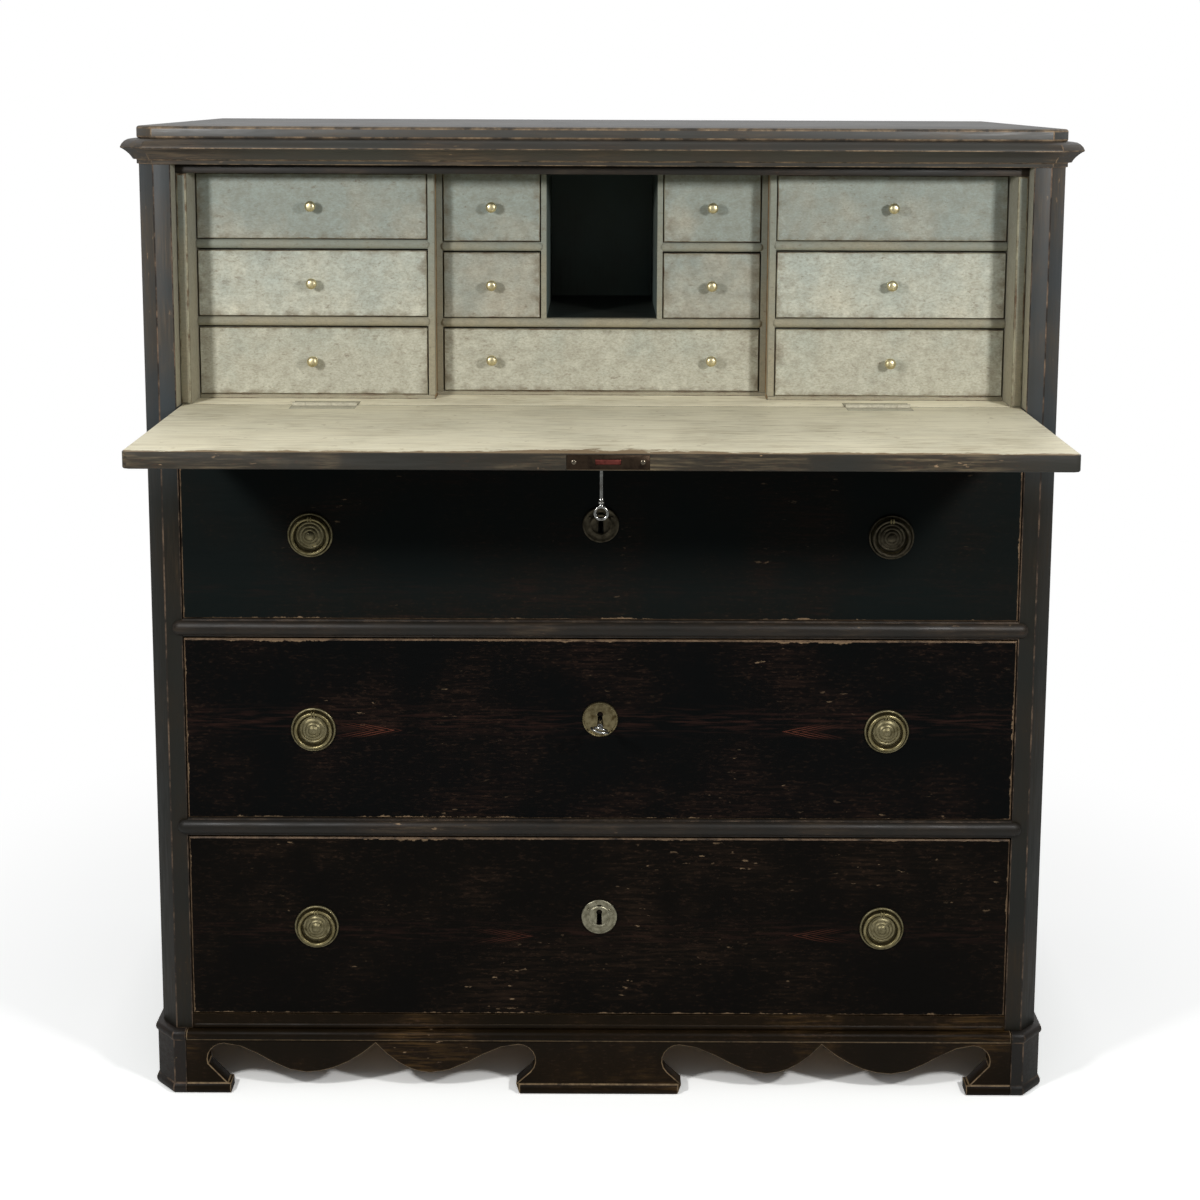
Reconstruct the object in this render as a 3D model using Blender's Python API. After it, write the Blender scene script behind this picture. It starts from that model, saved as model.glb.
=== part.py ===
"""A painted writing bureau: canted posts, a fall flap, a gallery of small drawers and three long drawers.

Frame: +X to the right, +Y to the back, +Z up, in metres. The origin is on the floor, midway between the
sides and midway between the front edge of the open flap and the back. Shapes are drawn with y = 0 on the
front face of the posts, and the empty called bureau carries them to their place.
"""

import math

import bmesh
import bpy
from mathutils import Matrix, Vector

MM = 0.001

# Carcase
BODY_WIDTH = 1018 * MM
BODY_DEPTH = 470 * MM
CANT = 20 * MM
POST_FACE = 19 * MM
POST_DEPTH = 45 * MM
SIDE_THICK = 18 * MM
BACK_THICK = 10 * MM
BACK_LAP = 9 * MM
BOTTOM_THICK = 18 * MM
RAIL_THICK = 20 * MM
DESK_THICK = 23 * MM
OPENING_HEIGHT = 268.3 * MM
FRIEZE_HEIGHT = 27.5 * MM
TOP_THICK = 14 * MM
TOP_PROUD = 1.5 * MM
TOP_EASE = 2 * MM
SEAT_GAP = 0.3 * MM
OVERLAP = 1 * MM
WELD = 0.001 * MM

# Mouldings
CORNICE_PROUD = 18.5 * MM
CORNICE_NOSE_DROP = 9.5 * MM
CORNICE_NOSE_SWELL = 4 * MM
CORNICE_COVE = 13 * MM
CORNICE_COVE_DIP = 1.5 * MM
CORNICE_FILLET = 2 * MM
NOSE_HEIGHT = 17 * MM
NOSE_DEPTH = 7 * MM
NOSE_LAP = 11 * MM
BEAD_HEIGHT = 6 * MM
BEAD_DEPTH = 2.5 * MM

# Base, with the apron's curves measured from the centre or from the seam beside a corner foot
PLINTH_HEIGHT = 65 * MM
PLINTH_PROUD = 6 * MM
PLINTH_INSET = 14 * MM
BASE_MOULD_HEIGHT = 11 * MM
BASE_MOULD_SWELL = 3.5 * MM
BASE_MOULD_SLOPE = 2 * MM
PAD_HEIGHT = 12 * MM
PAD_SWELL = 3 * MM
CORNER_FOOT_FACE = 12 * MM
FOOT_PAD_LENGTH = 51 * MM
FOOT_FLARE = 4 * MM
HOOK_RADIUS = 19.5 * MM
HOOK_TOP = 60.5 * MM
INNER_HOOK_TURN = (225, 90)
OUTER_HOOK_TURN = (90, -15)
OUTER_HOOK_FROM_SEAM = 43.5 * MM
OUTER_LOBE_FROM_SEAM = 138 * MM
CUSP_X = 258 * MM
CUSP_TOP = 61.5 * MM
LOBE_LOW = 25.5 * MM
INNER_LOBE_X = 194 * MM
INNER_HOOK_X = 93 * MM
CENTRE_FOOT_HALF = 92 * MM
SIDE_FOOT_LENGTH = 95 * MM
SIDE_ARCH_RISE = 44 * MM

# Long drawers
LOWER_DRAWER_HEIGHT = 213.5 * MM
MIDDLE_DRAWER_HEIGHT = 210.5 * MM
UPPER_DRAWER_HEIGHT = 194 * MM
DRAWER_TOP_GAP = 3 * MM
DRAWER_SIDE_GAP = 1 * MM
DRAWER_FRONT_SET = 0.5 * MM
DRAWER_FRONT_THICK = 20 * MM
DRAWER_EASE = 1.5 * MM
DRAWER_BOX_GAP = 8 * MM
DRAWER_BOX_DROP = 12 * MM
DRAWER_BACK_GAP = 25 * MM
DRAWER_WALL = 12 * MM
DRAWER_FLOOR = 9 * MM

# Flap, its hinges and its lock
FLAP_THICK = 17 * MM
FLAP_RECESS = 4.5 * MM
FLAP_SIDE_GAP = 1.5 * MM
FLAP_TOP_GAP = 1 * MM
FLAP_HINGE_GAP = 0.4 * MM
FLAP_REST_GAP = 0.5 * MM
FLAP_EASE = 0.8 * MM
HINGE_INSET = 159.5 * MM
HINGE_LENGTH = 72 * MM
HINGE_KNUCKLES = 5
HINGE_LEAF_WIDTH = 24 * MM
HINGE_LEAF_THICK = 2 * MM
BARREL_RADIUS = 3.4 * MM
PIN_RADIUS = 1.5 * MM
HINGE_CLEARANCE = 0.4 * MM
LOCK_OFFSET = 6.5 * MM
LOCK_PLATE_WIDTH = 81 * MM
LOCK_PLATE_THICK = 2 * MM
LOCK_PLATE_MARGIN = 1.3 * MM
LOCK_CASE_WIDTH = 60 * MM
LOCK_COVER = 3.5 * MM
LOCK_WALL = 3 * MM
BOLT_WIDTH = 25 * MM
BOLT_LENGTH = 16 * MM
BOLT_THICK = 5 * MM
BOLT_THROW = 8 * MM
BOLT_CLEARANCE = 0.5 * MM
KEY_BACKSET = 31 * MM
CHAMBER_RADIUS = 7.5 * MM
CHAMBER_TOP = 2 * MM

# Brass, knobs and keys
PLATE_RADIUS = 25.4 * MM
PLATE_FLOOR = 1.4 * MM
PLATE_RIM_WIDTH = 2.2 * MM
PLATE_RIM_HEIGHT = 2.6 * MM
ROSETTE_RADIUS = 15.2 * MM
ROSETTE_STEP = 1.8 * MM
ROSETTE_VALLEY = 2.7 * MM
BOSS_RADIUS = 6.5 * MM
BOSS_HEIGHT = 7.2 * MM
RING_WIRE = 1.9 * MM
RING_HANG = 0.9 * MM
RING_CLEARANCE = 0.45 * MM
RING_RIM_GAP = 0.6 * MM
EYE_WALL = 1.05 * MM
EYE_WIDTH = 4.8 * MM
EYE_SINK = 0.8 * MM
PULL_INSET = 144.5 * MM
ESCUTCHEON_RADIUS = 20.5 * MM
ESCUTCHEON_THICK = 2.8 * MM
ESCUTCHEON_RIM = 4 * MM
ESCUTCHEON_STEP = 1.4 * MM
ESCUTCHEON_SHOULDER = 2.1 * MM
ESCUTCHEON_DOME = 2.4 * MM
ESCUTCHEON_RISE = 13 * MM
KEYHOLE_RADIUS = 3.4 * MM
KEYHOLE_SLOT = 3.2 * MM
KEYHOLE_DROP = 11 * MM
KEY_SHANK_RADIUS = 2.4 * MM
KEY_REACH = 36 * MM
KEY_ENTRY = 9 * MM
KEY_COLLAR_RADIUS = 3.7 * MM
KEY_COLLAR_LENGTH = 9 * MM
KEY_COLLAR_RISE = 2.25 * MM
KEY_COLLAR_FALL = 1.5 * MM
KEY_COLLAR_FOOT = 1.5 * MM
KEY_BOW_RADIUS = 6.2 * MM
KEY_BOW_WIRE = 1.6 * MM
KEY_BIT_THICK = 2.2 * MM
KEY_BIT_LENGTH = 4.5 * MM
KEY_BIT_CLEARANCE = 0.7 * MM
DRAWER_KEY_TILT = 14.0
KNOB_RADIUS = 6.2 * MM
KNOB_LENGTH = 15 * MM
KNOB_NECK = 2.8 * MM
KNOB_COLLAR_RADIUS = 4.2 * MM
KNOB_COLLAR_LENGTH = 1.6 * MM
KNOB_ROUND = (-60, 75)

# Gallery behind the flap
JAMB_STEP = 12 * MM
FLAP_STOP_GAP = 0.5 * MM
BANK_SETBACK = 43.5 * MM
CENTRE_SETBACK = 28 * MM
GALLERY_DEPTH = 265 * MM
GALLERY_BACK_THICK = 8 * MM
CEILING_THICK = 10 * MM
BASE_STRIP = 4.3 * MM
SHELF_THICK = 10 * MM
SHELF_NOSE_DEPTH = 3.5 * MM
SHELF_NOSE_LAP = 2 * MM
LOWER_SHELF_RISE = 79.4 * MM
UPPER_SHELF_RISE = 167.3 * MM
CENTRE_SHELF_DROP = 4.4 * MM
DIVIDER_THICK = 7 * MM
CENTRE_WIDTH = 365 * MM
PIGEONHOLE_WIDTH = 127 * MM
PIGEONHOLE_WALL = 6 * MM
SMALL_SIDE_GAP = 0.5 * MM
SMALL_TOP_GAP = 0.6 * MM
SMALL_FRONT_THICK = 10 * MM
SMALL_EASE = 0.8 * MM
SMALL_WALL = 5 * MM
SMALL_FLOOR = 4 * MM
SMALL_DROP = 9 * MM
SMALL_BOX_GAP = 1.5 * MM
SMALL_BACK_GAP = 15 * MM

# Facets
TURNED_SIDES = 18
KNOB_SIDES = 12
RING_SIDES = 20
KEY_BOW_SIDES = 12
WIRE_SIDES = 8
BARREL_SIDES = 14
BOW_STEPS = 5
NOSE_STEPS = 8
NOSE_END_TURNS = (25, 45, 65, 90)
SHARP_ANGLE = math.radians(38)

# Places worked out from the sizes above
BODY_HALF = BODY_WIDTH / 2
ARRIS_X = BODY_HALF - CANT
OPENING_HALF = ARRIS_X - POST_FACE
SIDE_INNER = BODY_HALF - SIDE_THICK
SIDE_FRONT = POST_DEPTH + SEAT_GAP
BACK_FRONT = BODY_DEPTH - BACK_THICK
INNER_BACK = BACK_FRONT - SEAT_GAP
SEAM_X = ARRIS_X - CORNER_FOOT_FACE
BODY_BASE = PLINTH_HEIGHT + BASE_MOULD_HEIGHT
BODY_LOW = BODY_BASE + SEAT_GAP
BOTTOM_TOP = BODY_LOW + BOTTOM_THICK
LOWER_DRAWER_LOW = BOTTOM_TOP + SEAT_GAP
LOWER_RAIL_LOW = LOWER_DRAWER_LOW + LOWER_DRAWER_HEIGHT + DRAWER_TOP_GAP
MIDDLE_DRAWER_LOW = LOWER_RAIL_LOW + RAIL_THICK + SEAT_GAP
UPPER_RAIL_LOW = MIDDLE_DRAWER_LOW + MIDDLE_DRAWER_HEIGHT + DRAWER_TOP_GAP
UPPER_DRAWER_LOW = UPPER_RAIL_LOW + RAIL_THICK + SEAT_GAP
DESK_RAIL_LOW = UPPER_DRAWER_LOW + UPPER_DRAWER_HEIGHT + DRAWER_TOP_GAP
DESK_LOW = DESK_RAIL_LOW + RAIL_THICK + SEAT_GAP
DESK_TOP = DESK_LOW + DESK_THICK
OPENING_TOP = DESK_TOP + OPENING_HEIGHT
FRIEZE_TOP = OPENING_TOP + FRIEZE_HEIGHT
BODY_TOP = FRIEZE_TOP - SEAT_GAP

HINGE_Y = FLAP_RECESS + FLAP_THICK
FLAP_FRONT = HINGE_Y - OPENING_HEIGHT + FLAP_TOP_GAP
FLAP_LOW = DESK_TOP - FLAP_THICK
FLAP_MIDDLE = DESK_TOP - FLAP_THICK / 2
FLAP_HALF = OPENING_HALF - FLAP_SIDE_GAP
KEY_Y = FLAP_FRONT + KEY_BACKSET
LOCK_CASE_DEPTH = KEY_BACKSET + CHAMBER_RADIUS + LOCK_WALL
LOCK_CASE_THICK = FLAP_THICK - 2 * LOCK_COVER
LOCK_PLATE_HEIGHT = FLAP_THICK - 2 * LOCK_PLATE_MARGIN
FRONT_Y = -(BODY_DEPTH + FLAP_FRONT) / 2

GALLERY_FRONT = HINGE_Y + FLAP_STOP_GAP
GALLERY_HALF = OPENING_HALF - JAMB_STEP
BANK_Y = HINGE_Y + BANK_SETBACK
CENTRE_Y = BANK_Y + CENTRE_SETBACK
GALLERY_BACK = BANK_Y + GALLERY_DEPTH
CEILING_LOW = OPENING_TOP - SEAT_GAP - CEILING_THICK
STRIP_TOP = DESK_TOP + BASE_STRIP
LOWER_SHELF_LOW = STRIP_TOP + LOWER_SHELF_RISE
UPPER_SHELF_LOW = STRIP_TOP + UPPER_SHELF_RISE
CENTRE_HALF = CENTRE_WIDTH / 2
DIVIDER_X = CENTRE_HALF + DIVIDER_THICK
BANK_X = DIVIDER_X + DIVIDER_THICK
PIGEONHOLE_HALF = PIGEONHOLE_WIDTH / 2
SMALL_X = PIGEONHOLE_HALF + PIGEONHOLE_WALL

EYE_HOLE = RING_WIRE + RING_CLEARANCE
EYE_RADIUS = EYE_HOLE + EYE_WALL
RING_RADIUS = PLATE_RADIUS - PLATE_RIM_WIDTH - RING_RIM_GAP - RING_WIRE - RING_HANG
RING_PROUD = PLATE_FLOOR + EYE_RADIUS - EYE_SINK
PIVOT_RISE = RING_RADIUS - RING_HANG
BRASS_Y = DRAWER_FRONT_SET - SEAT_GAP

# Finishes: base colour, roughness and metallic
FINISHES = {
    "black_paint": ((0.012, 0.013, 0.014), 0.45, 0.0),
    "pale_paint": ((0.40, 0.39, 0.32), 0.70, 0.0),
    "cream_paint": ((0.55, 0.48, 0.34), 0.65, 0.0),
    "bare_pine": ((0.33, 0.21, 0.11), 0.75, 0.0),
    "aged_brass": ((0.36, 0.27, 0.12), 0.35, 1.0),
    "dark_iron": ((0.09, 0.06, 0.045), 0.60, 0.9),
    "key_steel": ((0.45, 0.44, 0.42), 0.30, 1.0),
}


# Outlines: lists of points in a plane

def arc(centre, radius, start, end, steps):
    """Points round an arc, with angles in degrees from the first axis."""
    points = []
    for step in range(steps + 1):
        turn = math.radians(start + (end - start) * step / steps)
        points.append((centre[0] + radius * math.cos(turn), centre[1] + radius * math.sin(turn)))
    return points


def bow(start, end, rise, steps=BOW_STEPS):
    """Points of an arc from start to end that swells by rise to the left of the line between them."""
    start = Vector(start)
    end = Vector(end)
    run = (end - start).normalized()
    left = Vector((-run.y, run.x))
    chord = (end - start).length
    spread = 2 * math.atan2(2 * rise, chord)
    radius = chord / (2 * math.sin(spread))
    points = []
    for step in range(steps + 1):
        turn = spread * (2 * step / steps - 1)
        along = run * radius * math.sin(turn)
        swell = left * radius * (math.cos(turn) - math.cos(spread))
        points.append(tuple((start + end) / 2 + along + swell))
    return points


def wave(start, end, shape, steps=BOW_STEPS):
    """Points after start, up to end, whose height follows shape, a function from 0..1 to 0..1."""
    points = []
    for step in range(1, steps + 1):
        share = step / steps
        points.append((
            start[0] + (end[0] - start[0]) * share,
            start[1] + (end[1] - start[1]) * shape(share),
        ))
    return points


def swing(share):
    """Half a cosine wave: level at both ends."""
    return (1 - math.cos(math.pi * share)) / 2


def rising(share):
    """A parabola that starts level."""
    return share * share


def falling(share):
    """A parabola that ends level."""
    return 1 - (1 - share) * (1 - share)


def both_sides(outline):
    """The outline of a right half, followed by its mirror image in reverse."""
    return outline + [(-x, other) for x, other in reversed(outline)]


def keyhole():
    """A keyhole round the origin with its slot downwards."""
    half = KEYHOLE_SLOT / 2
    corner = math.degrees(math.asin(half / KEYHOLE_RADIUS))
    crown = arc((0, 0), KEYHOLE_RADIUS, corner - 90, 270 - corner, 2 * BOW_STEPS)
    return [(-half, -KEYHOLE_DROP), (half, -KEYHOLE_DROP)] + crown


def body_plan(proud):
    """The canted front and sides grown by proud, from the back right corner round to the back left one."""
    ease = proud * math.tan(math.pi / 8)
    return both_sides([
        (BODY_HALF + proud, BODY_DEPTH),
        (BODY_HALF + proud, CANT - ease),
        (ARRIS_X + ease, -proud),
    ])


def corner_plan(proud):
    """The right end of that line alone, from the seam in the front to the back."""
    ease = proud * math.tan(math.pi / 8)
    return [
        (SEAM_X + SEAT_GAP, -proud),
        (ARRIS_X + ease, -proud),
        (BODY_HALF + proud, CANT - ease),
        (BODY_HALF + proud, BODY_DEPTH),
    ]


def board_plan(front):
    """A board that fits between the posts and, behind them, between the sides."""
    return both_sides([
        (OPENING_HALF - SEAT_GAP, front),
        (OPENING_HALF - SEAT_GAP, SIDE_FRONT + SEAT_GAP),
        (SIDE_INNER - SEAT_GAP, SIDE_FRONT + SEAT_GAP),
        (SIDE_INNER - SEAT_GAP, INNER_BACK),
    ])


# Solids: each function returns a bmesh

def loft(rings):
    """A closed body through rings of points, with both end rings capped."""
    shape = bmesh.new()
    rows = [[shape.verts.new(point) for point in ring] for ring in rings]
    count = len(rows[0])
    for near, far in zip(rows, rows[1:]):
        for i in range(count):
            j = (i + 1) % count
            shape.faces.new((near[i], near[j], far[j], far[i]))
    shape.faces.new(rows[0])
    shape.faces.new(rows[-1])
    bmesh.ops.recalc_face_normals(shape, faces=shape.faces)
    return shape


def prism(outline, low, high, along="z"):
    """An outline carried from low to high: (x, y) along z, (x, z) along y, or (y, z) along x."""
    spots = {
        "x": lambda a, b, c: (c, a, b),
        "y": lambda a, b, c: (a, c, b),
        "z": lambda a, b, c: (a, b, c),
    }
    spot = spots[along]
    return loft([[spot(a, b, c) for a, b in outline] for c in (low, high)])


def rectangle(a, b):
    """The corners between two pairs of values."""
    return [(a[0], b[0]), (a[1], b[0]), (a[1], b[1]), (a[0], b[1])]


def box(x, y, z):
    """A plain board between pairs of x, y and z."""
    return prism(rectangle(x, y), z[0], z[1])


def eased_front(x, y, z, ease):
    """A board whose front edges are taken off by ease."""
    inner = rectangle((x[0] + ease, x[1] - ease), (z[0] + ease, z[1] - ease))
    outer = rectangle(x, z)
    levels = ((y[0], inner), (y[0] + ease, outer), (y[1], outer))
    return loft([[(a, level, b) for a, b in outline] for level, outline in levels])


def slab(plan, proud, z, ease):
    """A board of the given plan whose upper and lower edges are taken off by ease."""
    levels = ((z[0], proud - ease), (z[0] + ease, proud), (z[1] - ease, proud), (z[1], proud - ease))
    return loft([[(x, y, level) for x, y in plan(out)] for level, out in levels])


def moulding(profile, plan):
    """A moulding with profile points (proud, z) that follows a plan line, mitred at its corners."""
    lines = [plan(proud) for proud, _ in profile]
    return loft([
        [(x, y, z) for (x, y), (_, z) in zip(corner, profile)]
        for corner in zip(*lines)
    ])


def rod(centre, radius, low, high, along):
    """A round bar."""
    step = 360 / BARREL_SIDES
    return prism(arc(centre, radius, 0, 360 - step, BARREL_SIDES - 1), low, high, along)


def nose(x, z_middle, height, depth, y_back):
    """A half-round nosing along X, standing forward of y_back, with rounded ends."""
    section = arc((0, 0), 1, 0, 180, NOSE_STEPS)
    ends = []
    for degrees in NOSE_END_TURNS:
        turn = math.radians(degrees)
        ends.append((height / 2 * (1 - math.cos(turn)), math.sin(turn)))
    stations = [(x[0] + inset, swell) for inset, swell in ends]
    stations += [(x[1] - inset, swell) for inset, swell in reversed(ends)]
    return loft([
        [(place, y_back - depth * swell * b, z_middle + height / 2 * swell * a) for a, b in section]
        for place, swell in stations
    ])


def turned(profile, sides):
    """A piece turned on the Y axis: points (radius, height) from its flat back to its tip towards -Y."""
    shape = bmesh.new()
    turns = [2 * math.pi * i / sides for i in range(sides)]
    rows = []
    for radius, height in profile[:-1]:
        rows.append([shape.verts.new((radius * math.cos(t), -height, radius * math.sin(t))) for t in turns])
    tip = shape.verts.new((0, -profile[-1][1], 0))
    shape.faces.new(rows[0])
    for near, far in zip(rows, rows[1:]):
        for i in range(sides):
            j = (i + 1) % sides
            shape.faces.new((near[i], near[j], far[j], far[i]))
    for i in range(sides):
        shape.faces.new((rows[-1][i], rows[-1][(i + 1) % sides], tip))
    bmesh.ops.recalc_face_normals(shape, faces=shape.faces)
    return shape


def hoop(radius, wire, sides):
    """A wire ring in the XZ plane round the origin."""
    shape = bmesh.new()
    rows = []
    for i in range(sides):
        turn = 2 * math.pi * i / sides
        row = []
        for across, lift in arc((radius, 0), wire, 0, 360 - 360 / WIRE_SIDES, WIRE_SIDES - 1):
            row.append(shape.verts.new((across * math.cos(turn), lift, across * math.sin(turn))))
        rows.append(row)
    for i in range(sides):
        near = rows[i]
        far = rows[(i + 1) % sides]
        for j in range(WIRE_SIDES):
            k = (j + 1) % WIRE_SIDES
            shape.faces.new((near[j], near[k], far[k], far[j]))
    bmesh.ops.recalc_face_normals(shape, faces=shape.faces)
    return shape


def moved(shape, x=0, y=0, z=0):
    """The shape carried to another place."""
    bmesh.ops.translate(shape, verts=shape.verts, vec=(x, y, z))
    return shape


def rotated(shape, degrees, axis):
    """The shape turned about the origin."""
    bmesh.ops.transform(shape, matrix=Matrix.Rotation(math.radians(degrees), 4, axis), verts=shape.verts)
    return shape


def handed(shape, side):
    """The shape as drawn on the right, or its mirror image on the left."""
    if side < 0:
        bmesh.ops.scale(shape, verts=shape.verts, vec=(-1, 1, 1))
        bmesh.ops.reverse_faces(shape, faces=shape.faces)
    return shape


def scratch_object(shape):
    """A throwaway object for a Boolean step."""
    mesh = bpy.data.meshes.new("scratch")
    shape.to_mesh(mesh)
    shape.free()
    item = bpy.data.objects.new("scratch", mesh)
    bpy.context.collection.objects.link(item)
    return item


def boolean(shape, tool, operation):
    """The shape after one Boolean step with the tool."""
    base = scratch_object(shape)
    other = scratch_object(tool)
    step = base.modifiers.new("step", "BOOLEAN")
    step.operation = operation
    step.solver = "EXACT"
    step.object = other
    graph = bpy.context.evaluated_depsgraph_get()
    solid = bpy.data.meshes.new_from_object(base.evaluated_get(graph))
    result = bmesh.new()
    result.from_mesh(solid)
    bmesh.ops.remove_doubles(result, verts=result.verts, dist=WELD)
    for item in (base, other):
        mesh = item.data
        bpy.data.objects.remove(item)
        bpy.data.meshes.remove(mesh)
    bpy.data.meshes.remove(solid)
    return result


def join(shape, *tools):
    """The shape with each tool fused to it."""
    for tool in tools:
        shape = boolean(shape, tool, "UNION")
    return shape


def cut(shape, *tools):
    """The shape with each tool taken out of it."""
    for tool in tools:
        shape = boolean(shape, tool, "DIFFERENCE")
    return shape


# Objects in the scene

def finish_material(name, finish):
    """A Principled material in one of the finishes."""
    colour, roughness, metallic = FINISHES[finish]
    material = bpy.data.materials.new(f"{name}_{finish}")
    material.use_nodes = True
    surface = material.node_tree.nodes["Principled BSDF"]
    surface.inputs["Base Color"].default_value = (*colour, 1.0)
    surface.inputs["Roughness"].default_value = roughness
    surface.inputs["Metallic"].default_value = metallic
    material.diffuse_color = (*colour, 1.0)
    return material


def group(name, place, parent=None):
    """An empty that carries pieces: it stands on the axis of a joint, at a place in the bureau."""
    empty = bpy.data.objects.new(name, None)
    empty.empty_display_size = BODY_HALF / 10
    bpy.context.collection.objects.link(empty)
    empty["place"] = tuple(place)
    empty.location = place
    if parent:
        empty.parent = parent
        empty.location = Vector(place) - Vector(parent["place"])
    return empty


def piece(name, shape, finish, parent):
    """The named object made from a shape, with its origin where its parent stands."""
    moved(shape, *(-value for value in parent["place"]))
    mesh = bpy.data.meshes.new(name)
    shape.to_mesh(mesh)
    shape.free()
    mesh.shade_smooth()
    mesh.set_sharp_from_angle(angle=SHARP_ANGLE)
    mesh.materials.append(finish_material(name, finish))
    item = bpy.data.objects.new(name, mesh)
    bpy.context.collection.objects.link(item)
    item.parent = parent
    return item


# Sub-parts

def base_mould_profile():
    """The half-round moulding on top of the plinth, as points (proud, z) from its foot to its top."""
    foot = (PLINTH_PROUD, PLINTH_HEIGHT)
    top = (PLINTH_PROUD - BASE_MOULD_SLOPE, BODY_BASE)
    return bow(foot, top, -BASE_MOULD_SWELL)


def pad_profile():
    """The half-round pad under a foot, as points (proud, z) from the floor up."""
    return bow((PLINTH_PROUD, 0), (PLINTH_PROUD, PAD_HEIGHT), -PAD_SWELL)


def apron_outline():
    """The front apron in the XZ plane: a centre foot, cusped lobes on each side, and corner brackets."""
    outer_hook_x = SEAM_X - OUTER_HOOK_FROM_SEAM
    outer_lobe = (SEAM_X - OUTER_LOBE_FROM_SEAM, LOBE_LOW)
    inner_lobe = (INNER_LOBE_X, LOBE_LOW)
    cusp = (CUSP_X, CUSP_TOP)
    hook_level = HOOK_TOP - HOOK_RADIUS
    foot_x = SEAM_X - FOOT_PAD_LENGTH
    inner_hook = arc((INNER_HOOK_X, hook_level), HOOK_RADIUS, *INNER_HOOK_TURN, BOW_STEPS + 2)
    outer_hook = arc((outer_hook_x, hook_level), HOOK_RADIUS, *OUTER_HOOK_TURN, BOW_STEPS + 1)
    outline = [(CENTRE_FOOT_HALF, 0), (CENTRE_FOOT_HALF + FOOT_FLARE, PAD_HEIGHT)]
    outline += inner_hook
    outline += wave(inner_hook[-1], inner_lobe, swing)
    outline += wave(inner_lobe, cusp, rising)
    outline += wave(cusp, outer_lobe, falling)
    outline += wave(outer_lobe, outer_hook[0], swing)
    outline += outer_hook[1:]
    outline += [(foot_x + FOOT_FLARE, PAD_HEIGHT), (foot_x, 0), (SEAM_X, 0), (SEAM_X, PLINTH_HEIGHT)]
    return both_sides(outline)


def front_section(profile):
    """A profile (proud, z) closed behind at the plinth's inner face, as a (y, z) outline."""
    rear = [(PLINTH_INSET, profile[-1][1]), (PLINTH_INSET, profile[0][1])]
    return [(-proud, z) for proud, z in profile] + rear


def front_plinth():
    """The apron with its foot pads and its stretch of the base moulding."""
    foot_x = SEAM_X - FOOT_PAD_LENGTH
    shape = prism(apron_outline(), -PLINTH_PROUD, PLINTH_INSET, "y")
    shape = join(shape, prism(front_section(base_mould_profile()), -SEAM_X, SEAM_X, "x"))
    for low, high in ((-SEAM_X, -foot_x), (-CENTRE_FOOT_HALF, CENTRE_FOOT_HALF), (foot_x, SEAM_X)):
        shape = join(shape, prism(front_section(pad_profile()), low, high, "x"))
    return shape


def side_plinth():
    """The right corner foot and side of the base, with an arch between its front and rear feet."""
    profile = pad_profile() + base_mould_profile()
    profile += [(-PLINTH_INSET, BODY_BASE), (-PLINTH_INSET, 0)]
    crown = bow((BODY_DEPTH - SIDE_FOOT_LENGTH, 0), (SIDE_FOOT_LENGTH, 0), -SIDE_ARCH_RISE, 2 * BOW_STEPS)
    arch = [(BODY_DEPTH - SIDE_FOOT_LENGTH, -PAD_HEIGHT), *crown, (SIDE_FOOT_LENGTH, -PAD_HEIGHT)]
    reach = 2 * (PLINTH_PROUD + PLINTH_INSET)
    return cut(moulding(profile, corner_plan), prism(arch, BODY_HALF - reach, BODY_HALF + reach, "x"))


def corner_post():
    """The right post, canted at its outer corner."""
    front = [(OPENING_HALF, 0), (ARRIS_X, 0), (BODY_HALF, CANT)]
    plan = front + [(BODY_HALF, POST_DEPTH), (OPENING_HALF, POST_DEPTH)]
    return prism(plan, BODY_LOW, BODY_TOP)


def side_board():
    """The right side, with a rebate for the back panel."""
    rebate = BODY_HALF - BACK_LAP
    plan = [
        (SIDE_INNER, SIDE_FRONT),
        (BODY_HALF, SIDE_FRONT),
        (BODY_HALF, BODY_DEPTH),
        (rebate, BODY_DEPTH),
        (rebate, INNER_BACK),
        (SIDE_INNER, INNER_BACK),
    ]
    return prism(plan, BODY_LOW, BODY_TOP)


def rail_nose(low):
    """The nosing of a rail, lapping the posts at both ends."""
    reach = OPENING_HALF + NOSE_LAP
    return nose((-reach, reach), low + RAIL_THICK / 2, NOSE_HEIGHT, NOSE_DEPTH, -SEAT_GAP)


def dust_board(low):
    """A full-depth board between two long drawers, with its nosing."""
    return join(prism(board_plan(-OVERLAP), low, low + RAIL_THICK), rail_nose(low))


def desk_rail_shape():
    """The rail under the desk, with a step that the open flap lies over."""
    section = [
        (-OVERLAP, DESK_RAIL_LOW),
        (POST_DEPTH, DESK_RAIL_LOW),
        (POST_DEPTH, DESK_LOW - SEAT_GAP),
        (HINGE_Y - SEAT_GAP, DESK_LOW - SEAT_GAP),
        (HINGE_Y - SEAT_GAP, FLAP_LOW - FLAP_REST_GAP),
        (-OVERLAP, FLAP_LOW - FLAP_REST_GAP),
    ]
    reach = OPENING_HALF - SEAT_GAP
    return join(prism(section, -reach, reach, "x"), rail_nose(DESK_RAIL_LOW))


def bottom_board_shape():
    """The bottom of the carcase, with a bead along its front."""
    reach = OPENING_HALF - SEAT_GAP
    bead = nose((-reach, reach), BODY_LOW + BEAD_HEIGHT / 2, BEAD_HEIGHT, BEAD_DEPTH, OVERLAP)
    return join(prism(board_plan(0), BODY_LOW, BOTTOM_TOP), bead)


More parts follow.
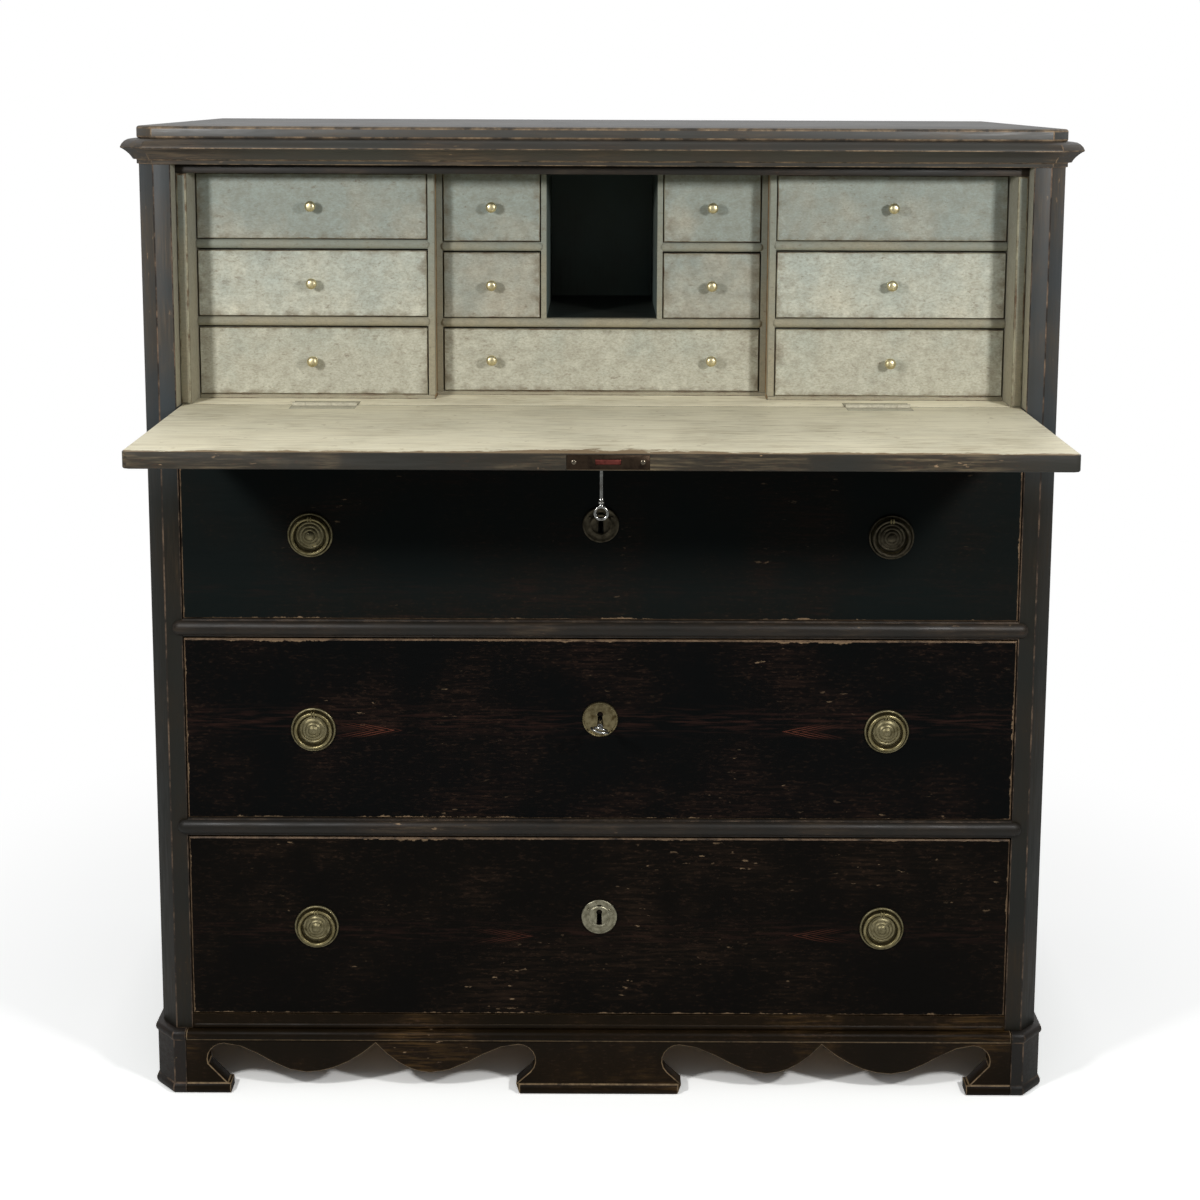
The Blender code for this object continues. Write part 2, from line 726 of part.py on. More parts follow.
def cornice_shape():
    """The cornice round the frieze: a fillet, a hollow and a half-round nose."""
    nose_tip = (CORNICE_PROUD, FRIEZE_TOP - CORNICE_NOSE_DROP)
    cove_foot = (CORNICE_PROUD - CORNICE_COVE, nose_tip[1] - CORNICE_COVE)
    profile = [(SEAT_GAP, OPENING_TOP), (CORNICE_FILLET, OPENING_TOP), (CORNICE_FILLET, cove_foot[1])]
    profile += bow(cove_foot, nose_tip, CORNICE_COVE_DIP)
    profile += bow(nose_tip, (CORNICE_FILLET, BODY_TOP), -CORNICE_NOSE_SWELL)[1:]
    profile += [(SEAT_GAP, BODY_TOP)]
    return moulding(profile, body_plan)


def top_rail_shape():
    """The rail behind the front of the cornice, with a mortise for the flap's bolt."""
    reach = OPENING_HALF - SEAT_GAP
    half_width = BOLT_WIDTH / 2 + BOLT_CLEARANCE
    half_thick = BOLT_THICK / 2 + BOLT_CLEARANCE
    middle = HINGE_Y - FLAP_THICK / 2
    mortise = box(
        (LOCK_OFFSET - half_width, LOCK_OFFSET + half_width),
        (middle - half_thick, middle + half_thick),
        (OPENING_TOP - OVERLAP, OPENING_TOP + BOLT_THROW + OVERLAP),
    )
    return cut(box((-reach, reach), (0, POST_DEPTH), (OPENING_TOP, BODY_TOP)), mortise)


def hinge_spans(side):
    """The x range of each knuckle of the hinge on one side, from left to right."""
    start = side * (FLAP_HALF - HINGE_INSET) - HINGE_LENGTH / 2
    length = HINGE_LENGTH / HINGE_KNUCKLES
    return [(start + i * length, start + (i + 1) * length) for i in range(HINGE_KNUCKLES)]


def hinge_leaf(side, forward):
    """One leaf with its knuckles: the fixed leaf also has the pin, and the flap's leaf is bored for it."""
    spans = hinge_spans(side)
    own = spans[1::2] if forward else spans[0::2]
    other = spans[0::2] if forward else spans[1::2]
    axis = (HINGE_Y, DESK_TOP)
    way = -1 if forward else 1
    width = sorted((HINGE_Y + way * BARREL_RADIUS / 2, HINGE_Y + way * HINGE_LEAF_WIDTH))
    shape = box((spans[0][0], spans[-1][1]), width, (DESK_TOP - HINGE_LEAF_THICK, DESK_TOP))
    for low, high in other:
        gap = rod(axis, BARREL_RADIUS + HINGE_CLEARANCE, low - SEAT_GAP, high + SEAT_GAP, "x")
        shape = cut(shape, gap)
    for low, high in own:
        shape = join(shape, rod(axis, BARREL_RADIUS, low, high, "x"))
    if forward:
        bore = rod(axis, PIN_RADIUS + HINGE_CLEARANCE, spans[0][0] - OVERLAP, spans[-1][1] + OVERLAP, "x")
        return cut(shape, bore)
    return join(shape, rod(axis, PIN_RADIUS, spans[0][0], spans[-1][1], "x"))


def hinge_recess(side):
    """The room that a hinge takes out of the flap and the desk floor: leaf beds and a barrel groove."""
    spans = hinge_spans(side)
    length = (spans[0][0] - SEAT_GAP, spans[-1][1] + SEAT_GAP)
    reach = HINGE_LEAF_WIDTH + SEAT_GAP
    bed_low = DESK_TOP - HINGE_LEAF_THICK - SEAT_GAP
    beds = box(length, (HINGE_Y - reach, HINGE_Y + reach), (bed_low, DESK_TOP + OVERLAP))
    groove = rod((HINGE_Y, DESK_TOP), BARREL_RADIUS + HINGE_CLEARANCE + SEAT_GAP, *length, "x")
    return join(beds, groove)


def desk_floor_shape():
    """The floor of the writing space, with the low strip that the gallery stands on."""
    step = GALLERY_HALF - SEAT_GAP
    strip = both_sides([
        (DIVIDER_X, CENTRE_Y),
        (DIVIDER_X, BANK_Y),
        (step, BANK_Y),
        (step, GALLERY_BACK - SEAT_GAP),
    ])
    shape = prism(board_plan(HINGE_Y), DESK_LOW, DESK_TOP)
    shape = join(shape, prism(strip, DESK_TOP - OVERLAP, STRIP_TOP))
    return cut(shape, hinge_recess(-1), hinge_recess(1))


def lock_box(width, depth, thick, start=0):
    """A box in the flap behind its front edge, centred on the lock and on the flap's thickness."""
    x = (LOCK_OFFSET - width / 2, LOCK_OFFSET + width / 2)
    y = (FLAP_FRONT + start, FLAP_FRONT + depth)
    return box(x, y, (FLAP_MIDDLE - thick / 2, FLAP_MIDDLE + thick / 2))


def flap_keyhole():
    """The keyhole through the outer face of the flap, with its slot towards the hinge."""
    outline = [(x, KEY_Y - z) for x, z in keyhole()]
    return prism(outline, FLAP_LOW - 2 * ESCUTCHEON_THICK, FLAP_MIDDLE)


def flap_plan(proud):
    """The plan of the open flap grown by proud."""
    return rectangle(
        (-FLAP_HALF - proud, FLAP_HALF + proud),
        (FLAP_FRONT - proud, HINGE_Y - FLAP_HINGE_GAP + proud),
    )


def flap_shape():
    """The flap, with beds for the hinges and a pocket for the lock."""
    room = 2 * SEAT_GAP
    shape = slab(flap_plan, 0, (FLAP_LOW, DESK_TOP), FLAP_EASE)
    plate_depth = LOCK_PLATE_THICK + SEAT_GAP
    case_depth = LOCK_CASE_DEPTH + SEAT_GAP
    plate_bed = lock_box(LOCK_PLATE_WIDTH + room, plate_depth, LOCK_PLATE_HEIGHT + room, -OVERLAP)
    pocket = lock_box(LOCK_CASE_WIDTH + room, case_depth, LOCK_CASE_THICK + room, -OVERLAP)
    return cut(shape, hinge_recess(-1), hinge_recess(1), plate_bed, pocket, flap_keyhole())


def lock_shape():
    """The lock: an edge plate, a case, a slot for the bolt and a chamber where the key turns."""
    room = 2 * SEAT_GAP
    shape = lock_box(LOCK_PLATE_WIDTH, LOCK_PLATE_THICK, LOCK_PLATE_HEIGHT)
    shape = join(shape, lock_box(LOCK_CASE_WIDTH, LOCK_CASE_DEPTH, LOCK_CASE_THICK, LOCK_PLATE_THICK / 2))
    slot = lock_box(BOLT_WIDTH + room, BOLT_LENGTH + OVERLAP, BOLT_THICK + room, -OVERLAP)
    chamber_top = FLAP_MIDDLE + LOCK_CASE_THICK / 2 - CHAMBER_TOP
    chamber = rod((0, KEY_Y), CHAMBER_RADIUS, FLAP_LOW, chamber_top, "z")
    return cut(shape, slot, chamber)


def escutcheon_shape():
    """A turned plate round a keyhole, with a raised rim and a domed middle, its back at y = 0."""
    rim = ESCUTCHEON_RADIUS - ESCUTCHEON_RIM
    profile = [
        (ESCUTCHEON_RADIUS, 0),
        (ESCUTCHEON_RADIUS, ESCUTCHEON_STEP),
        (ESCUTCHEON_RADIUS - ESCUTCHEON_RIM / 2, ESCUTCHEON_THICK),
        (rim, ESCUTCHEON_STEP),
        (rim / 2, ESCUTCHEON_SHOULDER),
        (0, ESCUTCHEON_DOME),
    ]
    hole = prism(keyhole(), -2 * ESCUTCHEON_THICK, ESCUTCHEON_THICK, "y")
    return cut(turned(profile, TURNED_SIDES), hole)


def key_shape():
    """A key along -Y through a face at y = 0: a shank with a collar and a round bow in the XY plane."""
    shank_end = KEY_REACH - KEY_BOW_RADIUS
    collar = shank_end - KEY_COLLAR_LENGTH
    profile = [
        (KEY_SHANK_RADIUS, -KEY_ENTRY),
        (KEY_SHANK_RADIUS, collar),
        (KEY_COLLAR_RADIUS, collar + KEY_COLLAR_RISE),
        (KEY_COLLAR_RADIUS, shank_end - KEY_COLLAR_FOOT - KEY_COLLAR_FALL),
        (KEY_SHANK_RADIUS, shank_end - KEY_COLLAR_FOOT),
        (KEY_SHANK_RADIUS, shank_end),
        (0, shank_end),
    ]
    bow_ring = moved(rotated(hoop(KEY_BOW_RADIUS, KEY_BOW_WIRE, KEY_BOW_SIDES), 90, "X"), y=-KEY_REACH)
    return join(turned(profile, BARREL_SIDES), bow_ring)


def flap_key_shape():
    """The flap's key, hanging under the flap, with the bit that throws the bolt."""
    half = KEY_BIT_THICK / 2
    bit_end = CHAMBER_RADIUS - KEY_BIT_CLEARANCE
    bit = box((-half, half), (KEY_ENTRY - KEY_BIT_LENGTH, KEY_ENTRY), (-bit_end, 0))
    shape = rotated(join(key_shape(), bit), 90, "X")
    return moved(shape, y=KEY_Y, z=FLAP_LOW)


def pull_plate_shape():
    """A turned rosette plate with a rim, a groove and the eye that the ring hangs in, its back at y = 0."""
    rim = PLATE_RADIUS - PLATE_RIM_WIDTH
    step = ROSETTE_RADIUS - 2 * ROSETTE_STEP
    profile = [
        (PLATE_RADIUS, 0),
        (PLATE_RADIUS, PLATE_FLOOR),
        (PLATE_RADIUS - PLATE_RIM_WIDTH / 2, PLATE_RIM_HEIGHT),
        (rim, PLATE_FLOOR),
        (ROSETTE_RADIUS, PLATE_FLOOR),
        (ROSETTE_RADIUS - ROSETTE_STEP / 3, PLATE_FLOOR + ROSETTE_STEP),
        (step, PLATE_FLOOR + ROSETTE_STEP),
        (step - ROSETTE_STEP, PLATE_FLOOR + 2 * ROSETTE_STEP),
        (BOSS_RADIUS + ROSETTE_STEP, PLATE_FLOOR + ROSETTE_VALLEY),
        (BOSS_RADIUS, BOSS_HEIGHT - ROSETTE_STEP / 2),
        (BOSS_RADIUS / 2, BOSS_HEIGHT),
        (0, BOSS_HEIGHT),
    ]
    eye_x = (-EYE_WIDTH / 2, EYE_WIDTH / 2)
    axis = (-RING_PROUD, PIVOT_RISE)
    eye = cut(rod(axis, EYE_RADIUS, *eye_x, "x"), rod(axis, EYE_HOLE, -EYE_WIDTH, EYE_WIDTH, "x"))
    return join(turned(profile, TURNED_SIDES), eye)


def knob_shape():
    """A turned knob that stands on a face at y = 0."""
    middle = KNOB_LENGTH - KNOB_RADIUS
    profile = [
        (KNOB_COLLAR_RADIUS, -OVERLAP),
        (KNOB_COLLAR_RADIUS, KNOB_COLLAR_LENGTH),
        (KNOB_NECK, KNOB_COLLAR_LENGTH + OVERLAP),
    ]
    profile += arc((0, middle), KNOB_RADIUS, *KNOB_ROUND, BOW_STEPS)
    profile += [(0, KNOB_LENGTH)]
    return turned(profile, KNOB_SIDES)


def long_drawer(low, height):
    """A long drawer: a front with a keyhole, and an open box behind it."""
    front_half = OPENING_HALF - DRAWER_SIDE_GAP
    half = OPENING_HALF - DRAWER_BOX_GAP
    front_back = DRAWER_FRONT_SET + DRAWER_FRONT_THICK
    back = INNER_BACK - DRAWER_BACK_GAP
    box_top = low + height - DRAWER_BOX_DROP
    front_y = (DRAWER_FRONT_SET, front_back)
    front = eased_front((-front_half, front_half), front_y, (low, low + height), DRAWER_EASE)
    body = box((-half, half), (front_back - OVERLAP, back), (low, box_top))
    inner = half - DRAWER_WALL
    hollow = box((-inner, inner), (front_back, back - DRAWER_WALL), (low + DRAWER_FLOOR, box_top + OVERLAP))
    hole_z = low + height / 2 + ESCUTCHEON_RISE
    hole = moved(prism(keyhole(), 0, front_back + OVERLAP, "y"), z=hole_z)
    return cut(join(front, body), hollow, hole)


def small_drawer(x, front, back, z, knobs):
    """A gallery drawer: a front with its knobs, and an open box behind it."""
    box_x = (x[0] + SMALL_BOX_GAP, x[1] - SMALL_BOX_GAP)
    inner_x = (box_x[0] + SMALL_WALL, box_x[1] - SMALL_WALL)
    front_back = front + SMALL_FRONT_THICK
    box_top = z[1] - SMALL_DROP
    shape = eased_front(x, (front, front_back), z, SMALL_EASE)
    shape = join(shape, box(box_x, (front_back - OVERLAP, back), (z[0], box_top)))
    inner_z = (z[0] + SMALL_FLOOR, box_top + OVERLAP)
    shape = cut(shape, box(inner_x, (front_back, back - SMALL_WALL), inner_z))
    for knob_x in knobs:
        shape = join(shape, moved(knob_shape(), x=knob_x, y=front, z=(z[0] + z[1]) / 2))
    return shape


def shelf(x, front, low):
    """A gallery shelf let into the boards at its ends, with a half-round nose that laps them."""
    into = DIVIDER_THICK / 2
    board = box((x[0] - into, x[1] + into), (front, GALLERY_BACK - SEAT_GAP), (low, low + SHELF_THICK))
    lapped = (x[0] - SHELF_NOSE_LAP, x[1] + SHELF_NOSE_LAP)
    front_nose = nose(lapped, low + SHELF_THICK / 2, SHELF_THICK, SHELF_NOSE_DEPTH, front + OVERLAP / 2)
    return join(board, front_nose)


def gallery_bank():
    """The right bank of the gallery: its jamb, its divider and two shelves."""
    top = CEILING_LOW - SEAT_GAP
    back = GALLERY_BACK - SEAT_GAP
    shape = box((GALLERY_HALF, OPENING_HALF - SEAT_GAP), (GALLERY_FRONT, back), (DESK_TOP + SEAT_GAP, top))
    for low in (LOWER_SHELF_LOW, UPPER_SHELF_LOW):
        shape = join(shape, shelf((BANK_X, GALLERY_HALF), BANK_Y, low))
    return join(shape, box((DIVIDER_X, BANK_X), (BANK_Y, back), (STRIP_TOP + SEAT_GAP, top)))


def gallery_middle():
    """The middle of the gallery: two stiles, a long shelf, the pigeonhole's walls and two short shelves."""
    top = CEILING_LOW - SEAT_GAP
    back = GALLERY_BACK - SEAT_GAP
    lower = LOWER_SHELF_LOW - CENTRE_SHELF_DROP
    upper = UPPER_SHELF_LOW - CENTRE_SHELF_DROP
    shape = shelf((-CENTRE_HALF, CENTRE_HALF), CENTRE_Y, lower)
    for side in (-1, 1):
        stile_x = (CENTRE_HALF, DIVIDER_X - SEAT_GAP)
        stile = box(stile_x, (CENTRE_Y, back), (STRIP_TOP + SEAT_GAP, top))
        wall = box((PIGEONHOLE_HALF, SMALL_X), (CENTRE_Y, back), (lower + SHELF_THICK / 2, top))
        short_shelf = shelf((SMALL_X, CENTRE_HALF), CENTRE_Y, upper)
        shape = join(shape, handed(stile, side), handed(wall, side), handed(short_shelf, side))
    return shape


# The scene

for old in list(bpy.data.objects):
    bpy.data.objects.remove(old)

SIDES = {"left": -1, "right": 1}
bureau = group("bureau", (0, 0, 0))
bureau.location = (0, FRONT_Y, 0)

# Carcase and base
for hand, side in SIDES.items():
    piece(f"side_{hand}", handed(side_board(), side), "black_paint", bureau)
    piece(f"post_{hand}", handed(corner_post(), side), "black_paint", bureau)
    piece(f"plinth_{hand}", handed(side_plinth(), side), "black_paint", bureau)
piece("plinth_front", front_plinth(), "black_paint", bureau)
piece("bottom_board", bottom_board_shape(), "black_paint", bureau)
piece("drawer_rail_lower", dust_board(LOWER_RAIL_LOW), "black_paint", bureau)
piece("drawer_rail_upper", dust_board(UPPER_RAIL_LOW), "black_paint", bureau)
piece("desk_rail", desk_rail_shape(), "black_paint", bureau)
piece("desk_floor", desk_floor_shape(), "pale_paint", bureau)
piece("top_rail", top_rail_shape(), "black_paint", bureau)
piece("cornice", cornice_shape(), "black_paint", bureau)
top_shape = slab(body_plan, TOP_PROUD, (FRIEZE_TOP, FRIEZE_TOP + TOP_THICK), TOP_EASE)
piece("top_board", top_shape, "black_paint", bureau)
back_half = BODY_HALF - BACK_LAP - SEAT_GAP
back_shape = box((-back_half, back_half), (BACK_FRONT, BODY_DEPTH), (BODY_LOW, BODY_TOP))
piece("back_panel", back_shape, "bare_pine", bureau)

# Gallery
gallery_reach = OPENING_HALF - SEAT_GAP
gallery_end = GALLERY_BACK + GALLERY_BACK_THICK
gallery_x = (-gallery_reach, gallery_reach)
ceiling = box(gallery_x, (GALLERY_FRONT, gallery_end), (CEILING_LOW, OPENING_TOP - SEAT_GAP))
rear = box(gallery_x, (GALLERY_BACK, gallery_end), (DESK_TOP + SEAT_GAP, CEILING_LOW - SEAT_GAP))
piece("gallery_top", ceiling, "pale_paint", bureau)
piece("gallery_back", rear, "pale_paint", bureau)
piece("gallery_centre", gallery_middle(), "pale_paint", bureau)
for hand, side in SIDES.items():
    piece(f"gallery_bank_{hand}", handed(gallery_bank(), side), "pale_paint", bureau)

# Flap with its hinges, lock and key
flap_axis = group("flap_axis", (0, HINGE_Y, DESK_TOP), bureau)
piece("flap", flap_shape(), "cream_paint", flap_axis)
for hand, side in SIDES.items():
    piece(f"hinge_{hand}", hinge_leaf(side, forward=False), "dark_iron", bureau)
    piece(f"hinge_flap_{hand}", hinge_leaf(side, forward=True), "dark_iron", flap_axis)
piece("flap_lock", lock_shape(), "dark_iron", flap_axis)
flap_plate = moved(rotated(escutcheon_shape(), 90, "X"), y=KEY_Y, z=FLAP_LOW - SEAT_GAP)
piece("flap_escutcheon", flap_plate, "aged_brass", flap_axis)
bolt_slide = group("bolt_slide", (LOCK_OFFSET, FLAP_FRONT, FLAP_MIDDLE), flap_axis)
piece("flap_bolt", lock_box(BOLT_WIDTH, BOLT_LENGTH, BOLT_THICK, SEAT_GAP), "dark_iron", bolt_slide)
key_axis = group("key_axis", (0, KEY_Y, FLAP_LOW), flap_axis)
piece("flap_key", flap_key_shape(), "key_steel", key_axis)

# Long drawers with their pulls and escutcheons
LONG_DRAWERS = {
    "upper": (UPPER_DRAWER_LOW, UPPER_DRAWER_HEIGHT),
    "middle": (MIDDLE_DRAWER_LOW, MIDDLE_DRAWER_HEIGHT),
    "lower": (LOWER_DRAWER_LOW, LOWER_DRAWER_HEIGHT),
}
for place, (low, height) in LONG_DRAWERS.items():
    pull_z = low + height / 2
    keyhole_z = pull_z + ESCUTCHEON_RISE
    slide = group(f"{place}_slide", (0, DRAWER_FRONT_SET, low), bureau)
    piece(f"drawer_{place}", long_drawer(low, height), "black_paint", slide)
    piece(f"escutcheon_{place}", moved(escutcheon_shape(), y=BRASS_Y, z=keyhole_z), "aged_brass", slide)
    for hand, side in SIDES.items():
        pull_x = side * (OPENING_HALF - DRAWER_SIDE_GAP - PULL_INSET)
        plate = moved(pull_plate_shape(), x=pull_x, y=BRASS_Y, z=pull_z)
        piece(f"pull_plate_{place}_{hand}", plate, "aged_brass", slide)
        pivot = (pull_x, BRASS_Y - RING_PROUD, pull_z + PIVOT_RISE)
        ring_axis = group(f"ring_axis_{place}_{hand}", pivot, slide)
        ring = moved(hoop(RING_RADIUS, RING_WIRE, RING_SIDES), x=pull_x, y=pivot[1], z=pull_z - RING_HANG)
        piece(f"pull_ring_{place}_{hand}", ring, "aged_brass", ring_axis)
    if place == "middle":
        drawer_key_axis = group("drawer_key_axis", (0, BRASS_Y, keyhole_z), slide)
        drawer_key = moved(rotated(key_shape(), DRAWER_KEY_TILT, "Y"), y=BRASS_Y, z=keyhole_z)
        piece("drawer_key", drawer_key, "key_steel", drawer_key_axis)

# Gallery drawers
bank_back = GALLERY_BACK - SMALL_BACK_GAP
bank_x = (BANK_X + SMALL_SIDE_GAP, GALLERY_HALF - SMALL_SIDE_GAP)
small_x = (SMALL_X + SMALL_SIDE_GAP, CENTRE_HALF - SMALL_SIDE_GAP)
small_knob = (SMALL_X + CENTRE_HALF) / 2
BANK_ROWS = {
    "upper": (UPPER_SHELF_LOW + SHELF_THICK + SEAT_GAP, CEILING_LOW - SMALL_TOP_GAP),
    "middle": (LOWER_SHELF_LOW + SHELF_THICK + SEAT_GAP, UPPER_SHELF_LOW - SMALL_TOP_GAP),
    "lower": (STRIP_TOP + SEAT_GAP, LOWER_SHELF_LOW - SMALL_TOP_GAP),
}
CENTRE_ROWS = {
    "upper": (UPPER_SHELF_LOW - CENTRE_SHELF_DROP + SHELF_THICK + SEAT_GAP, CEILING_LOW - SMALL_TOP_GAP),
    "lower": (
        LOWER_SHELF_LOW - CENTRE_SHELF_DROP + SHELF_THICK + SEAT_GAP,
        UPPER_SHELF_LOW - CENTRE_SHELF_DROP - SMALL_TOP_GAP,
    ),
}


def gallery_drawer(name, x, front, z, knobs):
    """One gallery drawer on its own slide."""
    slide = group(f"{name}_slide", ((x[0] + x[1]) / 2, front, z[0]), bureau)
    piece(name, small_drawer(x, front, bank_back, z, knobs), "pale_paint", slide)


for hand, side in SIDES.items():
    for row, z in BANK_ROWS.items():
        x = tuple(sorted(side * value for value in bank_x))
        gallery_drawer(f"bank_drawer_{hand}_{row}", x, BANK_Y, z, [(x[0] + x[1]) / 2])
    for row, z in CENTRE_ROWS.items():
        x = tuple(sorted(side * value for value in small_x))
        gallery_drawer(f"small_drawer_{hand}_{row}", x, CENTRE_Y, z, [side * small_knob])
wide_half = CENTRE_HALF - SMALL_SIDE_GAP
wide_z = (STRIP_TOP + SEAT_GAP, LOWER_SHELF_LOW - CENTRE_SHELF_DROP - SMALL_TOP_GAP)
gallery_drawer("wide_drawer", (-wide_half, wide_half), CENTRE_Y, wide_z, [-small_knob, small_knob])
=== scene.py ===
"""The looks of an old painted writing bureau with its flap let down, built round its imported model."""
import math

import bmesh
import bpy
from mathutils import Matrix, Vector


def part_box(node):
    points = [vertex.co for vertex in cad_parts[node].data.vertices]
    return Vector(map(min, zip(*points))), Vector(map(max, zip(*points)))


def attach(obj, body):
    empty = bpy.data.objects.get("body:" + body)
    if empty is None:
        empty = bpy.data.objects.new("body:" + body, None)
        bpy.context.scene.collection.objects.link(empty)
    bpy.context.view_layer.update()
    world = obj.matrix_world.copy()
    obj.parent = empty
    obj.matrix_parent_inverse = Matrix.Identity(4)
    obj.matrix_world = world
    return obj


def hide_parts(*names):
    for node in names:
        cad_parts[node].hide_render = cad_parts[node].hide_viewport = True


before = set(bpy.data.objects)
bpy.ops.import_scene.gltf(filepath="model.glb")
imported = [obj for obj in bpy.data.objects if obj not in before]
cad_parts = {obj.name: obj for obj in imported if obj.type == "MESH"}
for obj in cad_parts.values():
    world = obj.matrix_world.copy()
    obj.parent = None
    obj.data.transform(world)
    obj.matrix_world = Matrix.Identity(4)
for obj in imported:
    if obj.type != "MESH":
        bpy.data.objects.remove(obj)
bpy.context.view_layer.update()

MM = 0.001


# The studio: a pale floor that goes over into a white ground, two soft lamps above the flap on the left
# and the right, and a dim room in front of the bureau. None of it belongs to the object.
CAMERA_PLACE = (-0.0029, -2.1050, 1.1600)
CAMERA_PITCH = 7.6
CAMERA_YAW = -0.03
CAMERA_ROLL = 0.23
CAMERA_LENS = 54.85
CAMERA_SHIFT = -0.225
SENSOR_WIDTH = 36.0
LAMP_PLACES = {"lamp_left": (-0.90, -1.10, 1.28), "lamp_right": (0.90, -1.10, 1.28)}
LAMP_AIM = (0.0, 0.0, 0.85)
LAMP_SIZE = 0.15
LAMP_POWER = 11.0
ROOM_LIGHT = 0.035
CEILING_LIGHT = 0.5
FLOOR_RADIUS = 8.0
FLOOR_SIDES = 96
FLOOR_SHADE_NEAR = 0.55
FLOOR_SHADE_FAR = 1.25
FLOOR_GREY = "#e6e6e4"
FLOOR_SHOWN = 2.3
FLOOR_GLOW = 0.55
FOOTPRINT = (0.50, -0.10)
GLOW_START = -0.03
GLOW_FULL = 0.12


def linear(code):
    """The linear colour, with full alpha, of an sRGB hex code."""
    shares = [int(code[start:start + 2], 16) / 255 for start in (1, 3, 5)]
    return [s / 12.92 if s <= 0.04045 else ((s + 0.055) / 1.055) ** 2.4 for s in shares] + [1.0]


def add(tree, kind, inputs=None, **settings):
    """Adds a node with its settings; inputs holds a value or another node's output for each socket."""
    node = tree.nodes.new(kind)
    for name, value in settings.items():
        setattr(node, name, value)
    for socket, value in (inputs or {}).items():
        if isinstance(value, bpy.types.NodeSocket):
            tree.links.new(value, node.inputs[socket])
        else:
            node.inputs[socket].default_value = value
    return node


bpy.ops.object.select_all(action="DESELECT")
bpy.ops.mesh.primitive_circle_add(vertices=FLOOR_SIDES, radius=FLOOR_RADIUS, fill_type="NGON")
floor = bpy.context.object
floor.name = "studio_floor"
floor_paint = bpy.data.materials.new("matt white floor")
floor_paint.use_nodes = True
tree = floor_paint.node_tree
tree.nodes.clear()
path = add(tree, "ShaderNodeLightPath")
place = add(tree, "ShaderNodeTexCoord").outputs["Object"]
reach = add(tree, "ShaderNodeVectorMath", {0: place}, operation="LENGTH").outputs["Value"]
spot = add(tree, "ShaderNodeSeparateXYZ", {0: place})
wide = add(tree, "ShaderNodeMath", {0: spot.outputs["X"]}, operation="ABSOLUTE").outputs[0]
past_side = add(tree, "ShaderNodeMath", {0: wide, 1: FOOTPRINT[0]}, operation="SUBTRACT").outputs[0]
past_front = add(tree, "ShaderNodeMath", {0: FOOTPRINT[1], 1: spot.outputs["Y"]},
                 operation="SUBTRACT").outputs[0]
past = add(tree, "ShaderNodeMath", {0: past_side, 1: past_front}, operation="MAXIMUM").outputs[0]
glow = add(tree, "ShaderNodeMapRange", {"Value": past, "From Min": GLOW_START, "From Max": GLOW_FULL,
                                        "To Max": FLOOR_GLOW}).outputs[0]
far = add(tree, "ShaderNodeMapRange",
          {"Value": reach, "From Min": FLOOR_SHADE_NEAR, "From Max": FLOOR_SHADE_FAR},
          interpolation_type="SMOOTHSTEP")
grey = linear(FLOOR_GREY)
lit = add(tree, "ShaderNodeBsdfDiffuse", {"Color": grey})
shown = add(tree, "ShaderNodeBsdfDiffuse", {"Color": [c * FLOOR_SHOWN for c in grey[:3]] + [1.0]})
ground = add(tree, "ShaderNodeEmission", {"Color": linear("#ffffff"), "Strength": 1.0})
near_floor = add(tree, "ShaderNodeMixShader", {0: glow, 1: shown.outputs[0], 2: ground.outputs[0]})
shown_floor = add(tree, "ShaderNodeMixShader",
                  {0: far.outputs[0], 1: near_floor.outputs[0], 2: ground.outputs[0]})
whole = add(tree, "ShaderNodeMixShader",
            {0: path.outputs["Is Camera Ray"], 1: lit.outputs[0], 2: shown_floor.outputs[0]})
add(tree, "ShaderNodeOutputMaterial", {"Surface": whole.outputs[0]})
floor.data.materials.append(floor_paint)

room = bpy.data.worlds.new("studio room")
room.use_nodes = True
tree = room.node_tree
tree.nodes.clear()
path = add(tree, "ShaderNodeLightPath")
mirrored = add(tree, "ShaderNodeMath",
               {0: path.outputs["Is Glossy Ray"], 1: path.outputs["Is Transmission Ray"]},
               operation="MAXIMUM")
heading = add(tree, "ShaderNodeSeparateXYZ", {0: add(tree, "ShaderNodeTexCoord").outputs["Generated"]})
behind = add(tree, "ShaderNodeMapRange", {"Value": heading.outputs["Y"], "From Min": 0.0, "From Max": 0.5})
backdrop = add(tree, "ShaderNodeMath", {0: mirrored.outputs[0], 1: behind.outputs[0]}, operation="MULTIPLY")
seen = add(tree, "ShaderNodeMath",
           {0: path.outputs["Is Camera Ray"], 1: backdrop.outputs[0]}, operation="MAXIMUM")
overhead = add(tree, "ShaderNodeMapRange", {"Value": heading.outputs["Z"], "From Min": 0.1, "From Max": 0.9,
                                            "To Min": ROOM_LIGHT, "To Max": CEILING_LIGHT})
dim = add(tree, "ShaderNodeBackground", {"Color": linear("#eef2f4"), "Strength": overhead.outputs[0]})
white = add(tree, "ShaderNodeBackground", {"Color": linear("#ffffff"), "Strength": 1.0})
whole = add(tree, "ShaderNodeMixShader", {0: seen.outputs[0], 1: dim.outputs[0], 2: white.outputs[0]})
add(tree, "ShaderNodeOutputWorld", {"Surface": whole.outputs[0]})
bpy.context.scene.world = room

for lamp_name, lamp_place in LAMP_PLACES.items():
    lamp_light = bpy.data.lights.new(lamp_name, "AREA")
    lamp_light.size = LAMP_SIZE
    lamp_light.energy = LAMP_POWER
    lamp = bpy.data.objects.new(lamp_name, lamp_light)
    lamp.location = lamp_place
    lamp.rotation_euler = (Vector(LAMP_AIM) - Vector(lamp_place)).to_track_quat("-Z", "Y").to_euler()
    bpy.context.scene.collection.objects.link(lamp)

